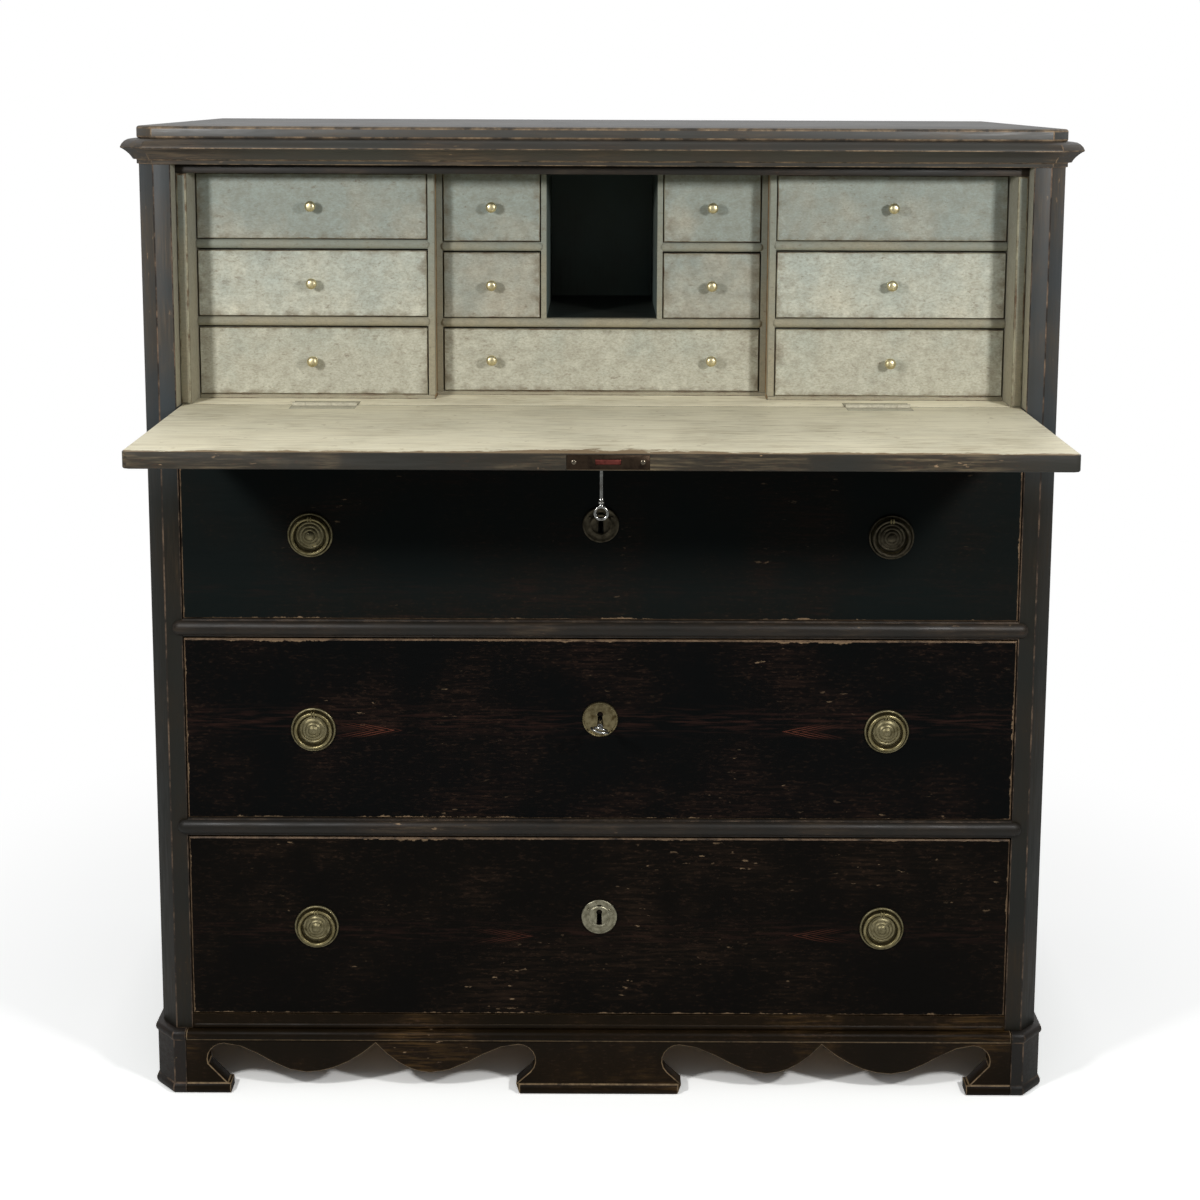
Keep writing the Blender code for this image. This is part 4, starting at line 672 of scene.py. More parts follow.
# The desk floor and the flap: wide pine boards with a cream writing face. The flap's edges and outside are
# black, and its cream is rubbed and stained where arms have lain.
CREAM = "#ece4c8"
CREAM_GREY = "#dcd5bb"
CREAM_STAIN = "#9c8760"
STAIN_SIZE = 90 * MM
BROAD_LINE = 13 * MM
FLECK_SIZE = 11 * MM
FLAP_RUB = "#6d4f2a"
FLAP_RUB_SIZE = 14 * MM
FLAP_RUB_SQUEEZE = 0.4
RUB_BY_LOCK = 42 * MM
RUB_ELSEWHERE = 15 * MM
FLAP_CORNER = 6 * MM
FLAP_EASE = 0.9 * MM
DESK_EASE = 0.7 * MM
LINE_RELIEF = 0.2 * MM
JOINT_NEAR = 2 * MM
FLAP_RUB_HALF = 130 * MM


def cream_paint(name, seed):
    """Cream oil paint, handled smooth: clouds of grey, brown lines along the grain, and flecks."""
    paint, tree, shader, place = new_finish(name)
    shifted = add(tree, "ShaderNodeMapping", {"Vector": place, "Location": (seed, seed, seed)}).outputs[0]
    along = add(tree, "ShaderNodeMapping",
                {"Vector": shifted, "Scale": squeeze("x", GRAIN_SQUEEZE)}).outputs[0]
    cloud = add(tree, "ShaderNodeTexNoise",
                {"Vector": shifted, "Scale": 1 / STAIN_SIZE, "Detail": 5.0}).outputs[0]
    line = add(tree, "ShaderNodeTexNoise", {"Vector": along, "Scale": 1 / STREAK_SIZE, "Detail": 4.0,
                                            "Roughness": 0.65}).outputs[0]
    greyness = add(tree, "ShaderNodeMapRange", {"Value": cloud, "From Min": 0.4, "From Max": 0.65}).outputs[0]
    base = add(tree, "ShaderNodeMix", {0: greyness, 6: linear(CREAM), 7: linear(CREAM_GREY)},
               data_type="RGBA").outputs[2]
    stain_place = add(tree, "ShaderNodeMapRange", {"Value": cloud, "From Min": 0.4, "From Max": 0.6,
                                                   "To Min": 0.4, "To Max": 1.0}).outputs[0]
    stain_line = add(tree, "ShaderNodeMapRange",
                     {"Value": line, "From Min": 0.5, "From Max": 0.72}).outputs[0]
    broad = add(tree, "ShaderNodeTexNoise", {"Vector": along, "Scale": 1 / BROAD_LINE, "Detail": 5.0,
                                             "Roughness": 0.7}).outputs[0]
    broad_line = add(tree, "ShaderNodeMapRange", {"Value": broad, "From Min": 0.5, "From Max": 0.72,
                                                  "To Max": 0.45}).outputs[0]
    fleck = add(tree, "ShaderNodeTexNoise",
                {"Vector": shifted, "Scale": 1 / FLECK_SIZE, "Detail": 3.0}).outputs[0]
    flecked = add(tree, "ShaderNodeMapRange", {"Value": fleck, "From Min": 0.66, "From Max": 0.75,
                                               "To Max": 0.45}).outputs[0]
    lined = add(tree, "ShaderNodeMath", {0: stain_place, 1: stain_line}, operation="MULTIPLY").outputs[0]
    spotted = add(tree, "ShaderNodeMath", {0: broad_line, 1: flecked}, operation="MAXIMUM").outputs[0]
    stain = add(tree, "ShaderNodeMath", {0: lined, 1: spotted}, operation="MAXIMUM").outputs[0]
    colour = add(tree, "ShaderNodeMix", {0: stain, 6: base, 7: linear(CREAM_STAIN)},
                 data_type="RGBA").outputs[2]
    bump = add(tree, "ShaderNodeBump", {"Height": line, "Strength": 0.2, "Distance": LINE_RELIEF}).outputs[0]
    tree.links.new(colour, shader.inputs["Base Color"])
    tree.links.new(bump, shader.inputs["Normal"])
    shader.inputs["Roughness"].default_value = 0.55
    shader.inputs["Specular IOR Level"].default_value = 0.35
    return paint


def rubbed_at_the_lock(paint, front):
    """Wears a cream paint down to brown wood along the front edge, widest by the lock in the middle."""
    tree, shader, painted, place = next_coat(paint)
    spot = add(tree, "ShaderNodeSeparateXYZ", {0: place})
    reach = add(tree, "ShaderNodeMath", {0: spot.outputs["X"]}, operation="ABSOLUTE").outputs[0]
    from_edge = add(tree, "ShaderNodeMath", {0: spot.outputs["Y"], 1: front}, operation="SUBTRACT").outputs[0]
    along = add(tree, "ShaderNodeMapping",
                {"Vector": place, "Scale": squeeze("x", FLAP_RUB_SQUEEZE)}).outputs[0]
    noise = add(tree, "ShaderNodeTexNoise", {"Vector": along, "Scale": 1 / FLAP_RUB_SIZE, "Detail": 6.0,
                                             "Roughness": 0.7}).outputs[0]
    ragged = add(tree, "ShaderNodeMapRange",
                 {"Value": noise, "From Min": 0.35, "From Max": 0.65, "To Min": 0.1}).outputs[0]
    lock_near = add(tree, "ShaderNodeMapRange",
                    {"Value": reach, "From Min": FLAP_RUB_HALF / 3, "From Max": FLAP_RUB_HALF,
                     "To Min": RUB_BY_LOCK, "To Max": RUB_ELSEWHERE}).outputs[0]
    width = add(tree, "ShaderNodeMath", {0: ragged, 1: lock_near}, operation="MULTIPLY").outputs[0]
    inside = add(tree, "ShaderNodeMath", {0: from_edge, 1: width}, operation="DIVIDE").outputs[0]
    bared = add(tree, "ShaderNodeMapRange",
                {"Value": inside, "From Min": 0.7, "From Max": 1.1, "To Min": 0.85,
                 "To Max": 0.0}).outputs[0]
    colour = add(tree, "ShaderNodeMix", {0: bared, 6: painted, 7: linear(FLAP_RUB)},
                 data_type="RGBA").outputs[2]
    tree.links.new(colour, shader.inputs["Base Color"])
    return paint


cream_top = cream_paint("cream paint on the desk floor", 1.3)
flap_cream = rubbed_at_the_lock(cream_paint("cream paint on the flap", 1.3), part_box("flap")[0].y)
flap_black = black_paint("handled black paint on the flap", "x", 1.1, 2.7,
                         "#2c2b26", "#342e25", "#6a5d46", 0.35)
flap_outside = black_paint("black paint on the outside of the flap", "x", 0.75, 5.1,
                           "#0b0c0b", "#120d0a", GROUND_RED, 0.1)
flap_edge = worn_arris("rubbed flap edge", 0.85, "#2c261e", "#8d7a5c", 2.9)
# The groove between the flap and the desk floor is painted dark: painted shade in the joint.
joint_shade = worn_arris("painted shade in the flap's joint", 0.2, "#2e271d", "#6b5f4b", 5.7)


def in_flap_joint(centre, normal):
    """Tells whether a face lines the groove between the flap and the desk floor."""
    return abs(centre.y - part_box("flap")[1].y) < JOINT_NEAR and 0.2 < normal.z < 0.9


desk = copied("desk_floor")
desk.data.materials.append(pine_across)
paint_faces(desk, cream_top, lambda centre, normal: normal.z > 0.9)
paint_faces(desk, pale_across, lambda centre, normal: normal.y < -0.5 and centre.z > DESK_TOP)
paint_faces(desk, PAINTS["rail"], lambda centre, normal: normal.y < -0.5 and centre.z < DESK_TOP)
ease(desk, pale_edge, DESK_EASE)
# The faces of the groove at the flap's joint get the painted shade.
paint_faces(desk, joint_shade, in_flap_joint)
seat(desk, "desk_floor", "carcase")

flap = copied("flap")
flap.data.materials.append(flap_black)
paint_faces(flap, flap_cream, lambda centre, normal: normal.z > 0.9)
paint_faces(flap, flap_outside, lambda centre, normal: normal.z < -0.9)
front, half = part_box("flap")[0].y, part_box("flap")[1].x
ease(flap, flap_black, FLAP_CORNER, lambda middle: middle.y < front + MM and abs(middle.x) > half - MM)
ease(flap, flap_edge, FLAP_EASE)
# The faces of the groove at the desk floor's joint get the painted shade.
paint_faces(flap, joint_shade, in_flap_joint)
seat(flap, "flap", "flap")


# The long drawers: solid pine fronts with eased edges on bare boxes. Each front is black with its own
# figure showing through, and wood bared all round where hands and the rails rub.
drawer_edge = worn_arris("rubbed drawer edge", 0.9, BLACK_WARM, WORN_WOOD, 4.0)
EDGE_RUB = 6.2 * MM
FRONT_THICK = 20.2 * MM
FRONT_SHINE = 0.06
LONG_SEED = 10.0
LONG_SEED_STEP = 3.7
FIGURE_RED = "#6a3a2c"
FIGURE_NOISE = 16 * MM
FIGURE_STEP = 11 * MM
FIGURE_SLOPE = 4.5
FIGURE_HALF = 9 * MM
BAND_HALF = 22 * MM
DRAWER_TONES = {"upper": ("#111615", "#161613", GROUND_RED), "middle": ("#070808", "#0c0908", "#2f2019"),
                "lower": ("#0a0806", "#0f0b07", "#2d2118")}
LONG_DRAWERS = {
    "upper": (0.4, (), (0.60, 0.15)),
    "middle": (0.7, ((-0.225, 0.4356, 1, 0.9), (0.200, 0.4356, -1, 0.8)), (0.447, 0.7)),
    "lower": (0.75, ((-0.070, 0.190, 1, 0.45), (0.215, 0.192, -1, 0.5)), (0.195, 0.45)),
}


def drawer_front_paint(name, node, seed, tones, rubbed, figures, band):
    """The black paint with the pine's figure rubbed through: nested arrowheads, and a band of streaks."""
    paint = black_paint(name, "x", rubbed, seed, *tones, FRONT_SHINE)
    tree, shader, painted, place = next_coat(paint)
    spot = add(tree, "ShaderNodeSeparateXYZ", {0: place})
    along = add(tree, "ShaderNodeMapping", {"Vector": place, "Scale": squeeze("x", GRAIN_SQUEEZE)}).outputs[0]
    ragged = add(tree, "ShaderNodeTexNoise",
                 {"Vector": place, "Scale": 1 / FIGURE_NOISE, "Detail": 4.0}).outputs[0]
    streak = add(tree, "ShaderNodeTexNoise",
                 {"Vector": along, "Scale": 1 / STREAK_SIZE, "Detail": 5.0}).outputs[0]
    for x, z, heading, strength in figures:
        behind = add(tree, "ShaderNodeMath", {0: spot.outputs["X"], 1: -heading, 2: heading * x},
                     operation="MULTIPLY_ADD").outputs[0]
        up = add(tree, "ShaderNodeMath", {0: spot.outputs["Z"], 1: z}, operation="SUBTRACT").outputs[0]
        off = add(tree, "ShaderNodeMath", {0: up}, operation="ABSOLUTE").outputs[0]
        swept = add(tree, "ShaderNodeMath", {0: off, 1: -FIGURE_SLOPE, 2: behind},
                    operation="MULTIPLY_ADD").outputs[0]
        ring = add(tree, "ShaderNodeMath", {0: swept, 1: FIGURE_STEP}, operation="DIVIDE").outputs[0]
        rough_ring = add(tree, "ShaderNodeMath", {0: ragged, 1: 0.9, 2: ring},
                         operation="MULTIPLY_ADD").outputs[0]
        turn = add(tree, "ShaderNodeMath", {0: rough_ring, 1: 2 * math.pi}, operation="MULTIPLY").outputs[0]
        line = add(tree, "ShaderNodeMath", {0: turn}, operation="SINE").outputs[0]
        drawn = add(tree, "ShaderNodeMapRange", {"Value": line, "From Min": 0.2, "From Max": 0.9}).outputs[0]
        begun = add(tree, "ShaderNodeMapRange", {"Value": ring, "From Min": -0.2, "From Max": 0.2,
                                                 "To Max": strength}).outputs[0]
        ended = add(tree, "ShaderNodeMapRange", {"Value": ring, "From Min": 2.0, "From Max": 4.5,
                                                 "To Min": 1.0, "To Max": 0.0}).outputs[0]
        low_enough = add(tree, "ShaderNodeMapRange",
                         {"Value": off, "From Min": FIGURE_HALF / 2, "From Max": FIGURE_HALF, "To Min": 1.0,
                          "To Max": 0.0}).outputs[0]
        for share in (begun, ended, low_enough):
            drawn = add(tree, "ShaderNodeMath", {0: drawn, 1: share}, operation="MULTIPLY").outputs[0]
        painted = add(tree, "ShaderNodeMix", {0: drawn, 6: painted, 7: linear(FIGURE_RED)},
                      data_type="RGBA").outputs[2]
    level, strength = band
    up = add(tree, "ShaderNodeMath", {0: spot.outputs["Z"], 1: level}, operation="SUBTRACT").outputs[0]
    off = add(tree, "ShaderNodeMath", {0: up}, operation="ABSOLUTE").outputs[0]
    near = add(tree, "ShaderNodeMapRange", {"Value": off, "From Max": BAND_HALF, "To Min": strength,
                                            "To Max": 0.0}).outputs[0]
    lines = add(tree, "ShaderNodeMapRange", {"Value": streak, "From Min": 0.48, "From Max": 0.66}).outputs[0]
    shown = add(tree, "ShaderNodeMath", {0: near, 1: lines}, operation="MULTIPLY").outputs[0]
    colour = add(tree, "ShaderNodeMix", {0: shown, 6: painted, 7: linear(GROUND_RED)},
                 data_type="RGBA").outputs[2]
    tree.links.new(colour, shader.inputs["Base Color"])
    return bared_edges(paint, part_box(node), WORN_WOOD, EDGE_RUB)


for seed, (row, (rubbed, figures, band)) in enumerate(LONG_DRAWERS.items()):
    node = "drawer_" + row
    drawer = copied(node)
    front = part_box(node)[0].y
    front_paint = drawer_front_paint(f"black paint on the {row} drawer", node,
                                     LONG_SEED + seed * LONG_SEED_STEP, DRAWER_TONES[row], rubbed, figures,
                                     band)
    drawer.data.materials.append(front_paint)
    paint_faces(drawer, pine_across, lambda centre, normal: normal.y > 0.5 or centre.y > front + FRONT_THICK)
    paint_faces(drawer, pine_deep,
                lambda centre, normal: abs(normal.x) > 0.5 and centre.y > front + FRONT_THICK)
    paint_faces(drawer, drawer_edge, lambda centre, normal: -0.95 < normal.y < -0.3)
    seat(drawer, node, node)


# The gallery drawers: small pine boxes with pale fronts, each drawn by a turned brass knob screwed in. The
# fronts fit loosely, so dark gaps show above, below and beside them.
BRASS_BRIGHT = "#e4d9b0"
KNOB_PROFILE = ((4.4, 0.0), (4.4, 0.9), (3.4, 1.5), (2.5, 2.6), (2.4, 4.6), (3.4, 6.2), (5.2, 8.0),
                (6.1, 10.2), (6.0, 12.2), (5.0, 13.9), (3.0, 14.8), (0.9, 15.0))
KNOB_SIDES = 40
TARNISH_SIZE = 6 * MM
SMALL_FRONT = 10.5 * MM
# Tones per row of the same pale paint: the upper and small drawers' tones are darker, as painted shade under
# the cornice.
SHADED_TONES = ("#939c95", "#b3ae9d")
MIDDLE_TONES = ("#b2b9af", "#cbc8b5")
LOWER_TONES = ("#abb2a6", "#bfbdab")


def old_metal(name, bright, dark, roughness, seed):
    """Old brass, steel or iron: worn bright where it is touched, dark with tarnish elsewhere."""
    metal, tree, shader, place = new_finish(name)
    shifted = add(tree, "ShaderNodeMapping", {"Vector": place, "Location": (seed, seed, seed)}).outputs[0]
    cloud = add(tree, "ShaderNodeTexNoise",
                {"Vector": shifted, "Scale": 1 / TARNISH_SIZE, "Detail": 5.0}).outputs[0]
    tarnish = add(tree, "ShaderNodeMapRange", {"Value": cloud, "From Min": 0.42, "From Max": 0.7}).outputs[0]
    colour = add(tree, "ShaderNodeMix", {0: tarnish, 6: linear(bright), 7: linear(dark)},
                 data_type="RGBA").outputs[2]
    dull = add(tree, "ShaderNodeMapRange", {"Value": cloud, "From Min": 0.3, "From Max": 0.7,
                                            "To Min": roughness - 0.08, "To Max": roughness + 0.1}).outputs[0]
    tree.links.new(colour, shader.inputs["Base Color"])
    tree.links.new(dull, shader.inputs["Roughness"])
    shader.inputs["Metallic"].default_value = 1.0
    return metal


def turned(name, profile, sides):
    """Turns a piece on a lathe: a disc is extruded up by each step of the profile, a radius and a height."""
    bpy.ops.object.select_all(action="DESELECT")
    bpy.ops.mesh.primitive_circle_add(vertices=sides, radius=profile[0][0], fill_type="NGON")
    piece = bpy.context.object
    piece.name = name
    bpy.ops.object.mode_set(mode="EDIT")
    bpy.ops.mesh.select_mode(type="FACE")
    bpy.ops.mesh.select_all(action="SELECT")
    radius, height = profile[0]
    for next_radius, next_height in profile[1:]:
        bpy.ops.mesh.extrude_region_move(TRANSFORM_OT_translate={"value": (0, 0, next_height - height)})
        share = next_radius / radius
        bpy.ops.transform.resize(value=(share, share, 1), center_override=(0, 0, next_height))
        radius, height = next_radius, next_height
    bpy.ops.mesh.select_all(action="SELECT")
    bpy.ops.mesh.normals_make_consistent(inside=False)
    bpy.ops.object.mode_set(mode="OBJECT")
    return piece


def face_front(piece, place):
    """Turns a piece modelled up the Z axis to look out of the front, and puts its foot at a place."""
    piece.data.transform(Matrix.Translation(place) @ Matrix.Rotation(math.radians(90), 4, "X"))


def placed(model, name):
    """A copy of a model, with its own mesh, under the name of a finished piece."""
    piece = bpy.data.objects.new(name, model.data.copy())
    bpy.context.scene.collection.objects.link(piece)
    return piece


def in_mm(profile):
    """A profile given in millimetres, in metres."""
    return [(radius * MM, height * MM) for radius, height in profile]


knob_brass = old_metal("polished knob brass", BRASS_BRIGHT, "#c2b48c", 0.4, 0.4)
knob_model = turned("knob_model", in_mm(KNOB_PROFILE), KNOB_SIDES)
knob_model.data.materials.append(knob_brass)
bpy.ops.object.shade_smooth_by_angle(angle=ROUND_ANGLE)
SMALL_DRAWERS = [f"bank_drawer_{s}_{r}" for s in ("left", "right") for r in ("upper", "middle", "lower")]
SMALL_DRAWERS += [f"small_drawer_{s}_{r}" for s in ("left", "right") for r in ("upper", "lower")]
SMALL_DRAWERS += ["wide_drawer"]
WIDE_KNOB_X = 126 * MM
KNOB_LENGTH = KNOB_PROFILE[-1][1] * MM
CUT_SKIN = 0.02 * MM
PALE_RUB = 3.6 * MM
TOP_GAP = 1.7 * MM
LOW_GAP = 0.7 * MM
SIDE_GAP = 0.9 * MM
NEAR_FRONT = 12 * MM
NEAR_EDGE = 2 * MM
SMALL_SEED = 7.7
SMALL_SEED_STEP = 1.3

for seed, node in enumerate(SMALL_DRAWERS):
    low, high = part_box(node)
    front = low.y + KNOB_LENGTH
    drawer = copied(node)
    bpy.ops.object.mode_set(mode="EDIT")
    bpy.ops.mesh.select_all(action="SELECT")
    bpy.ops.mesh.bisect(plane_co=(0, front + CUT_SKIN, 0), plane_no=(0, 1, 0), use_fill=True,
                        clear_inner=True, threshold=CUT_SKIN / 10)
    bpy.ops.object.mode_set(mode="OBJECT")
    for corner in drawer.data.vertices:
        if corner.co.y >= front + NEAR_FRONT:
            continue
        if corner.co.z > high.z - NEAR_EDGE:
            corner.co.z -= TOP_GAP
        if corner.co.z < low.z + NEAR_EDGE:
            corner.co.z += LOW_GAP
        off_middle = corner.co.x - (low.x + high.x) / 2
        if abs(off_middle) > (high.x - low.x) / 2 - NEAR_EDGE:
            corner.co.x -= math.copysign(SIDE_GAP, off_middle)
    tones = LOWER_TONES
    if "middle" in node:
        tones = MIDDLE_TONES
    if "upper" in node or "small" in node:
        tones = SHADED_TONES
    pale_front = pale_paint(f"pale paint on {node}", "x", *tones, SMALL_SEED + seed * SMALL_SEED_STEP)
    # The front is painted darker towards its edges, widest at its sides.
    edge_darkened_front = darkened_to_edges(pale_front, (low, high))
    drawer.data.materials.append(bared_edges(edge_darkened_front, (low, high), PALE_RUST, PALE_RUB))
    paint_faces(drawer, pine_across, lambda centre, normal: normal.y > 0.5 or centre.y > front + SMALL_FRONT)
    paint_faces(drawer, pine_deep,
                lambda centre, normal: abs(normal.x) > 0.5 and centre.y > front + SMALL_FRONT)
    paint_faces(drawer, pale_edge, lambda centre, normal: -0.95 < normal.y < -0.3)
    seat(drawer, node, node)
    middle = (low + high) / 2
    spots = (-WIDE_KNOB_X, WIDE_KNOB_X) if node == "wide_drawer" else (middle.x,)
    for number, x in enumerate(spots):
        knob = placed(knob_model, f"knob_{node}_{number}")
        face_front(knob, (x, front, middle.z))
        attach(knob, node)
bpy.data.objects.remove(knob_model)


# The ring pulls: a brass plate turned to a rosette inside a rolled rim, with two lugs at its top that hold a
# loose ring of drawn wire. The groove under the ring keeps its dirt. The upper right pull is painted darker
# brown: painted shade under the flap.
PULL_PROFILE = ((25.4, 0.0), (25.4, 1.2), (25.1, 2.0), (24.5, 2.5), (23.8, 2.6), (23.2, 2.3), (22.7, 1.5),
                (22.3, 1.2), (17.2, 1.2), (16.5, 1.4), (15.9, 2.1), (15.1, 2.7), (14.2, 2.9), (13.6, 2.7),
                (13.1, 2.4), (12.6, 2.6), (11.9, 3.3), (11.0, 3.8), (10.1, 3.9), (9.6, 3.6), (9.1, 3.6),
                (8.6, 4.2), (7.7, 5.0), (6.7, 5.3), (6.1, 5.1), (5.5, 4.9), (5.0, 5.3), (4.1, 6.2),
                (2.8, 6.8), (1.6, 7.0), (0.6, 7.1))
PULL_SIDES = 72
GROOVE_IN = 17.0 * MM
GROOVE_OUT = 22.4 * MM
LUG_SIZE = (1.7 * MM, 5.2 * MM, 5.4 * MM)
LUG_SPREAD = 3.0 * MM
LUG_RISE = 18.9 * MM
LUG_ROUND = 0.6 * MM
HOOP_STEPS = 72
WIRE_SIDES = 14


def hoop(name, radius, wire):
    """Bends a round wire into a ring in the XY plane: its round section is spun once about the Z axis."""
    bpy.ops.object.select_all(action="DESELECT")
    bpy.ops.mesh.primitive_circle_add(vertices=WIRE_SIDES, radius=wire)
    piece = bpy.context.object
    piece.name = name
    bpy.ops.object.mode_set(mode="EDIT")
    bpy.ops.mesh.select_all(action="SELECT")
    bpy.ops.transform.rotate(value=math.radians(90), orient_axis="X", center_override=(0, 0, 0))
    bpy.ops.transform.translate(value=(radius, 0, 0))
    bpy.ops.mesh.spin(steps=HOOP_STEPS, angle=math.radians(360), center=(0, 0, 0), axis=(0, 0, 1))
    bpy.ops.mesh.select_all(action="SELECT")
    bpy.ops.mesh.remove_doubles(threshold=JOIN_GAP)
    bpy.ops.mesh.normals_make_consistent(inside=False)
    bpy.ops.object.mode_set(mode="OBJECT")
    return piece


def block(name, size, place, rounding):
    """A small block with rounded edges: a cube drawn out to its size, moved to its place and bevelled."""
    bpy.ops.object.select_all(action="DESELECT")
    bpy.ops.mesh.primitive_cube_add(size=1)
    piece = bpy.context.object
    piece.name = name
    bpy.ops.object.mode_set(mode="EDIT")
    bpy.ops.mesh.select_all(action="SELECT")
    bpy.ops.transform.resize(value=size, center_override=(0, 0, 0))
    bpy.ops.transform.translate(value=place)
    bpy.ops.mesh.bevel(offset=rounding, segments=3, affect="EDGES")
    bpy.ops.object.mode_set(mode="OBJECT")
    return piece


def joined(piece, *others):
    """Fixes other pieces to a piece, as one object."""
    bpy.ops.object.select_all(action="DESELECT")
    for other in others:
        other.select_set(True)
    piece.select_set(True)
    bpy.context.view_layer.objects.active = piece
    bpy.ops.object.join()
    return piece


pull_brass = old_metal("tarnished pull brass", "#968d6d", "#70684b", 0.48, 2.2)
ring_brass = old_metal("handled ring brass", "#a1966f", "#7a6f4c", 0.4, 4.2)
groove_dirt = old_metal("dirt in the pull's groove", "#5a5239", "#3a3424", 0.6, 3.2)
# Brass painted darker for the upper right pull and the upper escutcheon: painted shade under the flap.
shaded_brass = old_metal("brass painted dark as shaded under the flap", "#5c5546", "#3d382d", 0.5, 5.3)
pull_model = turned("pull_model", in_mm(PULL_PROFILE), PULL_SIDES)
pull_model.data.materials.append(pull_brass)
paint_faces(pull_model, groove_dirt, lambda centre, normal: GROOVE_IN < centre.xy.length < GROOVE_OUT)
for number, side in enumerate((-1, 1)):
    lug_place = (side * LUG_SPREAD / 2, LUG_RISE, LUG_SIZE[2] / 2 + MM)
    lug = block(f"lug_{number}", LUG_SIZE, lug_place, LUG_ROUND)
    lug.data.materials.append(ring_brass)
    pull_model = joined(pull_model, lug)

for row in ("upper", "middle", "lower"):
    for side in ("left", "right"):
        plate_node = f"pull_plate_{row}_{side}"
        low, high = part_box(plate_node)
        plate = placed(pull_model, plate_node + "_dressed")
        # The upper right pull takes the darker brass: painted shade under the flap.
        shaded_pull = (row, side) == ("upper", "right")
        if shaded_pull:
            plate.data.materials[0] = shaded_brass
        face_front(plate, ((low.x + high.x) / 2, high.y, (low.z + high.z) / 2))
        seat(plate, plate_node, "drawer_" + row)
        ring_node = f"pull_ring_{row}_{side}"
        low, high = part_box(ring_node)
        wire = (high.y - low.y) / 2
        ring = hoop(ring_node + "_dressed", (high.x - low.x) / 2 - wire, wire)
        ring.data.materials.append(shaded_brass if shaded_pull else ring_brass)
        face_front(ring, (low + high) / 2)
        seat(ring, ring_node, f"ring_{row}_{side}")
bpy.data.objects.remove(pull_model)


# The escutcheons: stamped brass roses round the keyholes. The middle one has a milled rim and a sunk floor;
# the others have a stepped rim, two pins and a slot above the keyhole.
STEPPED_PROFILE = ((20.5, 0.0), (20.5, 1.1), (20.2, 1.7), (19.5, 2.1), (18.6, 2.1), (17.8, 1.8),
                   (17.0, 1.5), (13.4, 1.4), (12.8, 1.8), (12.1, 2.5), (11.2, 2.7), (10.4, 2.4), (9.7, 1.9),
                   (9.0, 1.7), (1.0, 1.6))
MILLED_PROFILE = ((20.5, 0.0), (20.5, 1.2), (20.1, 2.0), (19.2, 2.2), (18.5, 1.9), (17.9, 1.2), (12.0, 1.1),
                  (8.5, 1.5), (7.0, 1.7), (1.0, 1.7))
PLATE_SIDES = 96
MILL_DEPTH = 0.965
PIN_PROFILE = ((1.5, 0.0), (1.5, 0.5), (1.2, 0.9), (0.7, 1.2), (0.2, 1.3))
PIN_PLACES = ((-12.2, 8.4), (12.2, 8.4))
PIN_FOOT = 1.3
PIN_SIDES = 20
KEYHOLE_EYE = 3.4 * MM
KEYHOLE_EYE_RISE = 5.8 * MM
KEYHOLE_FOOT = 9.4 * MM
KEYHOLE_WAIST = 5.0 * MM
KEYHOLE_FLARE = 6.8 * MM
SLOT_SIZE = (5.0 * MM, 1.7 * MM, 8 * MM)
SLOT_RISE = 13.6 * MM
CUTTER_DEPTH = 8 * MM


def pierce(piece, cutter):
    """Cuts the shape of a cutter out of a piece and throws the cutter away."""
    hole = piece.modifiers.new("hole", "BOOLEAN")
    hole.operation = "DIFFERENCE"
    hole.solver = "EXACT"
    hole.object = cutter
    bpy.ops.object.select_all(action="DESELECT")
    piece.select_set(True)
    bpy.context.view_layer.objects.active = piece
    bpy.ops.object.modifier_apply(modifier=hole.name)
    bpy.data.objects.remove(cutter)


def pierce_keyhole(piece):
    """Cuts a keyhole: a round eye, and below it a slot that flares to its foot."""
    eye = turned("keyhole_eye", [(KEYHOLE_EYE, 0), (KEYHOLE_EYE, CUTTER_DEPTH)], PIN_SIDES)
    eye.data.transform(Matrix.Translation((0, KEYHOLE_EYE_RISE, -CUTTER_DEPTH / 2)))
    pierce(piece, eye)
    slot_height = KEYHOLE_FOOT + KEYHOLE_EYE_RISE
    slot = block("keyhole_slot", (KEYHOLE_WAIST, slot_height, CUTTER_DEPTH),
                 (0, KEYHOLE_EYE_RISE - slot_height / 2, 0), KEYHOLE_WAIST / 20)
    for corner in slot.data.vertices:
        if corner.co.y < KEYHOLE_EYE_RISE - slot_height / 2:
            corner.co.x *= KEYHOLE_FLARE / KEYHOLE_WAIST
    pierce(piece, slot)


escutcheon_brass = old_metal("grey stamped brass", "#a8a38c", "#7a7561", 0.42, 3.3)
milled_brass = old_metal("brown stamped brass", "#938766", "#594c31", 0.42, 6.3)
stepped_model = turned("stepped_model", in_mm(STEPPED_PROFILE), PLATE_SIDES)
pierce_keyhole(stepped_model)
pierce(stepped_model, block("slot_cutter", SLOT_SIZE, (0, SLOT_RISE, 0), SLOT_SIZE[1] / 5))
stepped_model.data.materials.append(escutcheon_brass)
for number, (across, up) in enumerate(PIN_PLACES):
    pin = turned(f"pin_{number}", in_mm(PIN_PROFILE), PIN_SIDES)
    pin.data.transform(Matrix.Translation((across * MM, up * MM, PIN_FOOT * MM)))
    pin.data.materials.append(escutcheon_brass)
    stepped_model = joined(stepped_model, pin)

